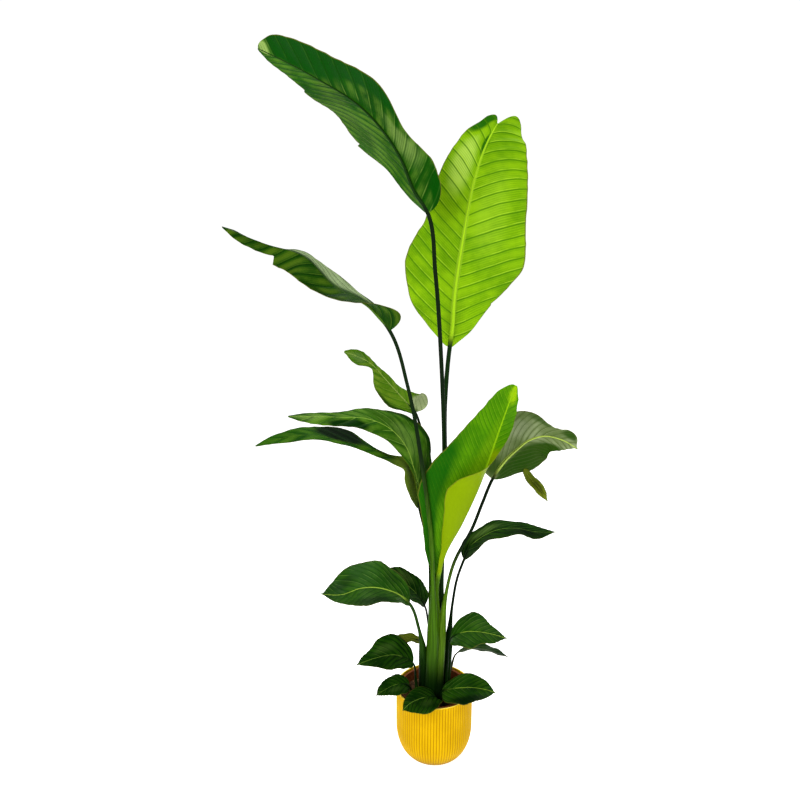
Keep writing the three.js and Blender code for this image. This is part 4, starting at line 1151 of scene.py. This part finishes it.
LEAF_PAINTS = {
    "deep green": dict(
        shades=[
            (8, 54, 2), (24, 78, 4), (86, 120, 36), (10, 50, 2), (108, 136, 56), (116, 142, 70),
            (3, 58, 1), (22, 60, 4),
        ],
        marks=(0.5, 0.5, 0.4, 0.4),
    ),
    "striped olive": dict(
        shades=[
            (10, 66, 2), (30, 90, 6), (96, 128, 36), (14, 62, 3), (112, 140, 52), (168, 190, 60),
            (3, 62, 2), (8, 40, 2),
        ],
        marks=(0.7, 0.5, 0.35, 0.6),
    ),
    "dark green": dict(
        shades=[
            (2, 24, 1), (13, 48, 2), (40, 78, 10), (3, 22, 1), (80, 112, 40), (90, 120, 52),
            (1, 12, 1), (100, 132, 46),
        ],
        marks=(0.5, 0.4, 0.5, 0.3),
    ),
    "olive-streaked green": dict(
        shades=[
            (10, 46, 2), (28, 66, 5), (68, 94, 16), (8, 36, 3), (84, 106, 30), (140, 160, 112),
            (4, 30, 2), (40, 70, 10),
        ],
        marks=(0.7, 0.6, 0.35, 0.4),
    ),
    "olive-lit green": dict(
        shades=[
            (40, 80, 4), (68, 104, 10), (104, 126, 34), (46, 78, 12), (116, 136, 50), (158, 172, 122),
            (6, 38, 2), (126, 146, 70),
        ],
        marks=(0.6, 0.5, 0.4, 0.4),
    ),
    "lit green": dict(
        shades=[
            (24, 64, 3), (56, 98, 13), (92, 130, 36), (22, 60, 6), (118, 152, 62), (124, 156, 72),
            (4, 34, 2), (134, 168, 60),
        ],
        marks=(0.5, 0.5, 0.5, 0.4),
    ),
    "glossy green": dict(
        shades=[
            (10, 46, 2), (30, 74, 5), (58, 98, 14), (8, 40, 3), (88, 124, 46), (112, 144, 64),
            (2, 20, 1), (140, 170, 56),
        ],
        marks=(0.4, 0.4, 0.7, 0.4), gloss=0.06,
    ),
    "green with olive": dict(
        shades=[
            (12, 54, 2), (36, 82, 8), (74, 112, 22), (12, 48, 4), (84, 118, 34), (84, 108, 26),
            (1, 12, 1), (78, 104, 16),
        ],
        marks=(0.5, 0.5, 0.3, 0.4),
    ),
    "fresh green": dict(
        shades=[
            (84, 129, 4), (111, 155, 6), (132, 171, 14), (54, 100, 3), (160, 194, 44), (150, 182, 66),
            (22, 80, 3), (134, 172, 32),
        ],
        marks=(0.35, 0.75, 0.4, 0.35),
    ),
    "bright green": dict(
        shades=[
            (54, 106, 2), (80, 132, 3), (98, 150, 6), (40, 92, 2), (136, 178, 30), (140, 176, 8),
            (14, 74, 2), (120, 162, 10),
        ],
        marks=(0.3, 0.25, 0.4, 0.45), plain=(108, 132, 2),
    ),
    "smooth lime": dict(
        shades=[
            (150, 164, 1), (160, 172, 1), (160, 172, 1), (146, 162, 2), (160, 172, 4), (176, 190, 6),
            (110, 140, 1), (162, 176, 3),
        ],
        marks=(0.0, 0.0, 0.0, 0.2),
    ),
    # a bright yellow-green that is painted light shining through the leaf from behind
    "bright underside": dict(
        shades=[
            (90, 146, 2), (116, 168, 4), (130, 178, 8), (54, 110, 2), (160, 198, 44), (150, 184, 70),
            (28, 96, 2), (140, 182, 20),
        ],
        marks=(0.25, 0.65, 0.5, 0.3),
    ),
    "grey-green": dict(
        shades=[
            (82, 100, 52), (116, 128, 90), (132, 144, 106), (54, 70, 24), (140, 150, 112),
            (146, 154, 128), (28, 60, 3), (150, 170, 70),
        ],
        marks=(0.6, 0.6, 0.35, 0.5),
    ),
    "olive": dict(
        shades=[
            (66, 80, 8), (88, 100, 18), (104, 112, 30), (70, 80, 14), (110, 120, 40), (120, 130, 44),
            (30, 40, 4), (120, 130, 44),
        ],
        marks=(0.4, 0.4, 0.3, 0.4),
    ),
}
FINISHES = {name: leaf_finish(name, **paint) for name, paint in LEAF_PAINTS.items()}
print(len(FINISHES), "leaf finishes")

# %% [markdown]
# ## A stalk's colours and its painted shade
# The stalks are painted nearly black where they come out of the soil, as shade of the crowded
# leaves, green where the light reaches between the blades, and dark again with painted shade
# under their own blade. On the blade the stalk is the midrib, which is paler. The number kept
# on its points says how far up the stalk a point is. Fine long streaks, which a Mapping node
# draws out along the height, make the stem fibrous.

# %% Stalk finishes
STALK_GLOSS = 0.05
FOOT_SHADE_END = (0.23, 0.39)  # heights in metres between which the painted shade of the foot ends
NECK_SHADE_START = (0.42, 0.72)  # shares of the stalk between which the painted shade of the neck comes in
FIBRES = (220, 220, 9)  # how fine the streaks are across the stem and along it
FIBRE_MARKS = (0.68, 0.34)
FIBRE_DARK = (0, 0.004, 0, 1)
FIBRE_STRENGTH = 0.45


def stalk_finish(name, foot, middle, neck, rib):
    """A smooth stalk in three colours from foot to neck, which turns into the midrib; the dark
    colours at the foot and the neck are painted shade.
    """
    finish = Finish(name)
    where = finish.where()
    drawn_out = finish.add("Mapping", Vector=where, Scale=FIBRES).outputs["Vector"]
    fibres = finish.cloud(drawn_out, 1.0, 3.0)
    height = finish.add("SeparateXYZ", Vector=where).outputs["Z"]
    # the darker foot and neck colours are painted shade
    base = finish.mix(finish.step(height, *FOOT_SHADE_END), foot, middle)
    base = finish.mix(finish.step(finish.noted("upwards"), *NECK_SHADE_START), base, neck)
    darker = finish.mix(FIBRE_STRENGTH, base, FIBRE_DARK)
    base = finish.mix(finish.step(fibres, *FIBRE_MARKS), base, darker)
    base = finish.mix(finish.noted("on blade"), base, rib)
    finish.surface(base, STALK_GLOSS, 0.36, fibres, 0.2)
    finish.relief(fibres, 0.3, 0.0006)
    return finish.material


# foot, middle, neck and midrib: the near-black colours are painted shade
STALK_PAINTS = {
    "black-green": ((12, 40, 2), (12, 40, 2), (5, 22, 2), (12, 40, 3)),
    "lime rib": ((14, 42, 2), (16, 48, 2), (8, 38, 1), (138, 180, 18)),
    "mid to black-green": ((8, 32, 2), (58, 96, 6), (6, 26, 2), (60, 92, 20)),
    "mid green": ((6, 28, 2), (26, 58, 5), (34, 66, 10), (124, 154, 50)),
    "light green": ((8, 34, 2), (72, 112, 8), (72, 112, 8), (136, 176, 14)),
    "light to black-green": ((5, 22, 2), (82, 118, 14), (7, 24, 3), (156, 178, 74)),
    "reddish": ((84, 44, 16), (84, 44, 16), (50, 50, 12), (50, 70, 14)),
}
for name, shades in STALK_PAINTS.items():
    FINISHES[name] = stalk_finish(name, *[colour(*shade) for shade in shades])
print(len(FINISHES), "finishes with the stalks")

# %% [markdown]
# ## Make the leaves
# Each plan now becomes a blade and a stalk. The number of cells follows the size of the blade,
# so small leaves stay light. The upper right leaf has a second, narrow blade, the lobe that
# hangs at its base. Every piece rides on the plant and takes the place of its leaf in the
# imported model.

# %% Make the leaves
CELL_LONG, CELL_WIDE = 2.6, 5.5  # about the size of a cell of a blade
LEAST_ROWS, LEAST_COLUMNS = 60, 6
LOBE_ROWS, LOBE_COLUMNS = 50, 5
LOBE_LOOK = look(5, (1.4, 1.4), 0.03, "olive", "olive", tones=[(0.55, 0.0, 0.4, 0.8, -0.8)])
SLOTS = dict.fromkeys(LEAVES, "leaf_dark")
for name in (
    "leaf_middle_left_upper", "leaf_middle_left_lower", "leaf_middle_left_short",
    "leaf_left_behind", "leaf_left_olive", "leaf_rim_right",
):
    SLOTS[name] = "leaf_mid"
SLOTS.update(leaf_top_right="leaf_bright", leaf_centre_rolled="leaf_bright")


def keep(piece, node):
    """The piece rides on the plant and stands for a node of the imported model."""
    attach(piece, "root")
    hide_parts(node)


def leaf_pieces(name, leaf, worn):
    """The blade, the lobe where there is one, and the stalk of a leaf."""
    line = Line([*leaf["stalk"], *leaf["rib"]])
    start = line.reach[len(leaf["stalk"]) - 1]
    rows = max(round((line.length - start) / CELL_LONG), LEAST_ROWS)
    columns = max(round(max(*leaf["left"], *leaf["right"]) / CELL_WIDE), LEAST_COLUMNS)
    made = [blade(name + "_blade", leaf, worn, line, start, rows, columns)]
    if "lobe" in leaf:
        lobe = leaf["lobe"]
        lobe_line = Line(lobe["rib"])
        made.append(blade(name + "_lobe", lobe, LOBE_LOOK, lobe_line, 0, LOBE_ROWS, LOBE_COLUMNS))
    for piece, look_of_piece in zip(made, (worn, LOBE_LOOK)):
        piece.data.materials.append(FINISHES[look_of_piece["upper"]])
        piece.data.materials.append(FINISHES[look_of_piece["under"]])
    made.append(stalk(name + "_stalk", leaf, line, start))
    made[-1].data.materials.append(FINISHES[worn["stem"]])
    print(name, rows, "x", 2 * columns + 2, "cells")
    return made


faces = 0
for name, leaf in LEAVES.items():
    for piece in leaf_pieces(name, leaf, LOOKS[name]):
        keep(piece, name)
        faces += len(piece.data.polygons)
print(faces, "faces in all leaves")

# %% [markdown]
# ## Cover pot
# The pot is glazed earthenware with 84 upright ribs, a plain rim and a rounded foot. Half of
# its section, from the middle of the foot up the outside, over the rim and down the inside, is
# swept round the axis: a grid whose rows are the points of the section and whose columns go
# round. The grooves sink into the section's radius, so they thin out towards the foot with it.

# %% Shape the cover pot
POT_RADIUS = 110
POT_HEIGHT = 220
POT_FOOT_RADIUS = 48
POT_ROUND_HEIGHT = 98
POT_WALL = 4
POT_LIP = 1.2  # radius of the rounded edges of the rim
FOOT_RING = 4  # width of the ring that the pot stands on, and of the slope inside it
FOOT_HOLLOW = 2  # how far the foot is hollow inside that ring
POT_RIBS = 84
POT_RIB_COLUMNS = 8  # columns of points to a rib
POT_RIB_START = (1, 8)  # heights between which the ribs rise from the foot
RIM_BAND = 3  # height of the plain band above the ribs
GROOVE_DEPTH = 1.7
GROOVE_NARROW = 0.6  # under 1 makes the grooves narrow and the backs of the ribs broad
ROUND_STEPS, WALL_STEPS, LIP_STEPS = 24, 12, 4


def pot_radius(height):
    """A quarter ellipse that turns into a straight wall."""
    if height >= POT_ROUND_HEIGHT:
        return POT_RADIUS
    share = (POT_ROUND_HEIGHT - height) / POT_ROUND_HEIGHT
    return POT_FOOT_RADIUS + (POT_RADIUS - POT_FOOT_RADIUS) * math.sqrt(1 - share**2)


def quarter(steps):
    """Angles over a quarter turn."""
    return [math.pi / 2 * i / steps for i in range(steps + 1)]


def pot_section():
    """Radius, height and share of ribbing from the middle of the foot to the floor inside."""
    heights = [POT_ROUND_HEIGHT * (1 - math.cos(turn)) for turn in quarter(ROUND_STEPS)]
    ring = POT_FOOT_RADIUS - FOOT_RING
    section = [(0, FOOT_HOLLOW, 0), (ring - FOOT_RING, FOOT_HOLLOW, 0), (ring, 0, 0)]
    section.append((POT_FOOT_RADIUS, 0, 0))
    section += [(pot_radius(z), z, smooth_step(z, *POT_RIB_START)) for z in heights[1:]]
    rib_top = POT_HEIGHT - RIM_BAND
    for i in range(1, WALL_STEPS + 1):
        section.append((POT_RADIUS, mix(POT_ROUND_HEIGHT, rib_top - 1, i / WALL_STEPS), 1))
    section.append((POT_RADIUS, rib_top, 0))
    edge = POT_HEIGHT - POT_LIP
    outer, inner = POT_RADIUS - POT_LIP, POT_RADIUS - POT_WALL + POT_LIP
    for turn in quarter(LIP_STEPS):
        section.append((outer + POT_LIP * math.cos(turn), edge + POT_LIP * math.sin(turn), 0))
    for turn in quarter(LIP_STEPS):
        section.append((inner - POT_LIP * math.sin(turn), edge + POT_LIP * math.cos(turn), 0))
    for z in reversed(heights):
        raised = POT_WALL + z * (POT_ROUND_HEIGHT - POT_WALL) / POT_ROUND_HEIGHT
        section.append((pot_radius(z) - POT_WALL, raised, 0))
    section.append((0, POT_WALL, 0))
    return section


pot_lines = pot_section()
pot_columns = POT_RIBS * POT_RIB_COLUMNS


def groove_at(i, j):
    """1 at the bottom of a groove, 0 on the round back of a rib."""
    across = j % POT_RIB_COLUMNS / POT_RIB_COLUMNS
    return pot_lines[i][2] * (1 - abs(math.sin(math.pi * across)) ** GROOVE_NARROW)


def pot_place(i, j):
    radius, height = pot_lines[i][:2]
    turn = 2 * math.pi * j / pot_columns
    radius -= GROOVE_DEPTH * groove_at(i, j) * radius / POT_RADIUS
    return Vector((radius * math.cos(turn), radius * math.sin(turn), height))


pot, pot_cells = laid_grid("cover_pot", len(pot_lines) - 1, pot_columns, pot_place)
note(pot, "groove", [groove_at(i, j) for i, j in pot_cells])
close_up(pot)
print("cover pot:", len(pot.data.polygons), "faces")

# %% [markdown]
# ## The glaze
# A thin yellow glaze, satin rather than mirror-bright. It is painted browner in the grooves, as
# their shade, has a painted highlight as a pale line along the rim, and is painted darker round
# the foot, as the shade where it meets the floor. Two sizes of noise, soft clouds and a few fine
# specks, keep it from looking like plastic.

# %% Glaze the cover pot
GLAZE_GLOSS = 0.015
deep_yellow, pale_yellow = colour(188, 147, 1), colour(199, 158, 3)
groove_shade_brown, speck_brown = colour(136, 86, 1), colour(120, 76, 10)
foot_yellow, rim_highlight_yellow = colour(126, 92, 1), colour(246, 214, 84)
YELLOW_CLOUDS = (0.34, 0.68)
GROOVE_SHADE = (0.35, 0.95)  # shares of a groove's depth between which the painted shade of the groove comes in
SPECKS = (0.7, 0.76)
SPECK_STRENGTH = 0.5
SHADED_FOOT = (0.055, 0.002)  # height in metres where the shade starts and where it is full
FOOT_STRENGTH = 0.8

glaze = Finish("yellow glaze")
where = glaze.where()
height = glaze.add("SeparateXYZ", Vector=where).outputs["Z"]
clouds = glaze.cloud(where, 14.0, 5.0, 0.55)
# the grooves are painted browner, as their shade
groove_shade = glaze.step(glaze.noted("groove"), *GROOVE_SHADE)
specks = glaze.step(glaze.cloud(where, 620.0, 1.0), *SPECKS)
shaded_foot = glaze.sum("MULTIPLY", glaze.step(height, *SHADED_FOOT), FOOT_STRENGTH)
# a painted highlight along the top of the rim
rim = glaze.step(height, (POT_HEIGHT - POT_LIP) * MM, (POT_HEIGHT - POT_LIP / 3) * MM)
yellow = glaze.mix(glaze.step(clouds, *YELLOW_CLOUDS), deep_yellow, pale_yellow)
yellow = glaze.mix(groove_shade, yellow, groove_shade_brown)
yellow = glaze.mix(glaze.sum("MULTIPLY", specks, SPECK_STRENGTH), yellow, speck_brown)
yellow = glaze.mix(shaded_foot, yellow, foot_yellow)
yellow = glaze.mix(rim, yellow, rim_highlight_yellow)
glaze.surface(yellow, GLAZE_GLOSS, SATIN, clouds, 0.16)
glaze.relief(clouds, 0.12, 0.0008)
pot.data.materials.append(glaze.material)
keep(pot, "outer_pot")
print("glazed", pot.name)

# %% [markdown]
# ## Nursery pot
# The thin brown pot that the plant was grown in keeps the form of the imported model, holes and
# all. It is moulded plastic: dull, with a fine grain and the chalky bloom that watering leaves.

# %% Colour the nursery pot
PLASTIC_GLOSS = 0.15
BLOOM = (0.45, 0.75)
brown, chalky_brown = colour(104, 50, 16), colour(128, 72, 32)

plastic = Finish("brown moulded plastic")
where = plastic.where()
bloom = plastic.cloud(where, 22.0, 6.0, 0.65)
bloomed = plastic.mix(plastic.step(bloom, *BLOOM), brown, chalky_brown)
plastic.surface(bloomed, PLASTIC_GLOSS, 0.45, bloom, 0.3)
plastic.relief(plastic.cloud(where, 900.0, 2.0), 0.25, 0.0004)
for slot in bpy.data.objects["nursery_pot"].material_slots:
    slot.material = plastic.material
print("coloured the nursery pot")

# %% [markdown]
# ## Soil
# Potting soil is never level: it rolls and is lumpy. The top is a grid laid in rings, with the
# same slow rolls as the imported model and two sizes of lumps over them, a little higher in the
# middle of the pot. Its outer rings go down the wall of the nursery pot and close below.

# %% Lay the soil
LINER_TOP_RADIUS = 101
LINER_FOOT_RADIUS = 66
LINER_FOOT = 11.1
LINER_WALL = 1.8
LINER_TOP = 216
LINER_LIP = 3
SOIL_TOP = 190
SOIL_EDGE = SOIL_TOP - 2  # height of the soil against the wall
SOIL_GAP = 0.35
SOIL_FOOT = LINER_FOOT + LINER_WALL + SOIL_GAP
SOIL_RINGS = 60
SOIL_COLUMNS = 150
SOIL_ROLLS = 0.8  # height of the rolls, as a share of the formula's
SOIL_LUMPS = ((2.4, 9, 0), (1.2, 3.5, 40))  # height, size and shift of the pattern
SOIL_MOUND = 4


def soil_edge(height):
    """Radius of the soil against the wall of the nursery pot."""
    share = (height - LINER_FOOT) / (LINER_TOP - LINER_FOOT)
    return mix(LINER_FOOT_RADIUS, LINER_TOP_RADIUS - LINER_LIP, share) - LINER_WALL - SOIL_GAP


def soil_height(x, y):
    """Height of the top of the soil: long rolls, lumps, and a low mound in the middle."""
    rolls = 3 * math.sin(x / 17 + 0.6) * math.cos(y / 14) + 2 * math.sin(x / 7 - y / 9)
    lumps = [high * noise.noise(Vector((x, y, shift)) / size) for high, size, shift in SOIL_LUMPS]
    mound = SOIL_MOUND * (1 - math.hypot(x, y) / LINER_TOP_RADIUS)
    return SOIL_TOP + SOIL_ROLLS * rolls + sum(lumps) + mound


def soil_place(i, j):
    """The middle of the foot, its edge, the edge of the top, and rings from there inwards."""
    turn = 2 * math.pi * j / SOIL_COLUMNS
    if i == 0:
        return Vector((0, 0, SOIL_FOOT))
    if i == 1:
        radius, height = soil_edge(SOIL_FOOT), SOIL_FOOT
    else:
        radius, height = soil_edge(SOIL_EDGE) * (1 - (i - 2) / (SOIL_RINGS - 2)), SOIL_EDGE
    x, y = radius * math.cos(turn), radius * math.sin(turn)
    return Vector((x, y, soil_height(x, y) if i > 2 else height))


soil = laid_grid("soil_bed", SOIL_RINGS, SOIL_COLUMNS, soil_place)[0]
close_up(soil)
print("soil:", len(soil.data.polygons), "faces")

# %% [markdown]
# ## Crumbs
# Crumbs and bits of bark lie on the soil. Each is a low, dented ball of few faces with its own
# size, turn and place, sunk a little into the top and kept clear of the stalks in the middle.
# They are joined into one piece, whose origin then goes to the middle of the pot's foot.

# %% Strew the crumbs
CRUMBS = 320
CRUMB_SIZES = (1.2, 1.6, 1.6, 2.2, 3.0)
CRUMB_DENT = 0.5
CRUMB_DENT_SIZE = 1.3  # a higher number gives each crumb more dents
CRUMB_FLAT = 0.7
CRUMB_RISE = 0.2  # height of a crumb's middle above the soil, as a share of its radius
CRUMB_ROOM = 1.6  # room that a crumb needs from the wall, as a share of its radius
CLUMP_RADIUS = 14  # the stalks stand inside this
CRUMB_CREASE = 40  # edges sharper than this angle stay sharp
random.seed(7)


def crumb(size):
    """A low dented ball, lying at the middle of the scene."""
    bpy.ops.object.select_all(action="DESELECT")
    bpy.ops.mesh.primitive_ico_sphere_add(subdivisions=1, radius=size * MM)
    ball = bpy.context.object
    shift = Vector([random.uniform(0, 90) for axis in range(3)])
    for point in ball.data.vertices:
        dent = noise.noise(point.co / (size * MM) * CRUMB_DENT_SIZE + shift)
        point.co *= 1 + CRUMB_DENT * dent
        point.co.z *= CRUMB_FLAT
    return ball


balls = []
while len(balls) < CRUMBS:
    turn, out = random.uniform(0, 2 * math.pi), soil_edge(SOIL_TOP) * math.sqrt(random.random())
    x, y = out * math.cos(turn), out * math.sin(turn)
    size = random.choice(CRUMB_SIZES)
    if out + size * CRUMB_ROOM > soil_edge(SOIL_EDGE) or out < CLUMP_RADIUS:
        continue
    ball = crumb(size)
    ball.rotation_euler = [random.uniform(0, math.pi) for axis in range(3)]
    ball.location = Vector((x, y, soil_height(x, y) + CRUMB_RISE * size)) * MM
    balls.append(ball)
bpy.ops.object.select_all(action="DESELECT")
for ball in balls:
    ball.select_set(True)
bpy.context.view_layer.objects.active = balls[0]
bpy.ops.object.transform_apply(location=True, rotation=True, scale=True)
bpy.ops.object.join()
crumbs = bpy.context.object
crumbs.name = crumbs.data.name = "soil_crumbs"
bpy.context.scene.cursor.location = (0, 0, 0)
bpy.ops.object.origin_set(type="ORIGIN_CURSOR")
bpy.ops.object.shade_smooth_by_angle(angle=math.radians(CRUMB_CREASE))
print("crumbs:", len(crumbs.data.polygons), "faces")

# %% [markdown]
# ## The colour of the soil
# Moist potting soil is a very dark brown with paler lumps and, here and there, a fleck of bark.
# One finish serves the bed and the crumbs. It is dull, and a strong bump stands for grains that
# are too fine to model.

# %% Colour the soil
EARTH_GLOSS = 0.1
EARTH_ROUGH = 0.95
DRY_LUMPS = (0.35, 0.7)
BARK_FLECKS = (0.82, 0.9)
BARK_STRENGTH = 0.6
moist, dry, bark = colour(34, 22, 12), colour(74, 52, 32), colour(120, 84, 48)

earth = Finish("dark potting soil")
where = earth.where()
lumps = earth.cloud(where, 90.0, 6.0, 0.7)
flecks = earth.add("TexVoronoi", Vector=where, Scale=260.0).outputs["Color"]
fleck = earth.step(earth.add("SeparateXYZ", Vector=flecks).outputs["X"], *BARK_FLECKS)
ground = earth.mix(earth.step(lumps, *DRY_LUMPS), moist, dry)
ground = earth.mix(earth.sum("MULTIPLY", fleck, BARK_STRENGTH), ground, bark)
earth.surface(ground, EARTH_GLOSS, EARTH_ROUGH)
earth.relief(lumps, 0.8, 0.002)
for piece in (soil, crumbs):
    piece.data.materials.append(earth.material)
    keep(piece, "soil")
print("soil and", CRUMBS, "crumbs")
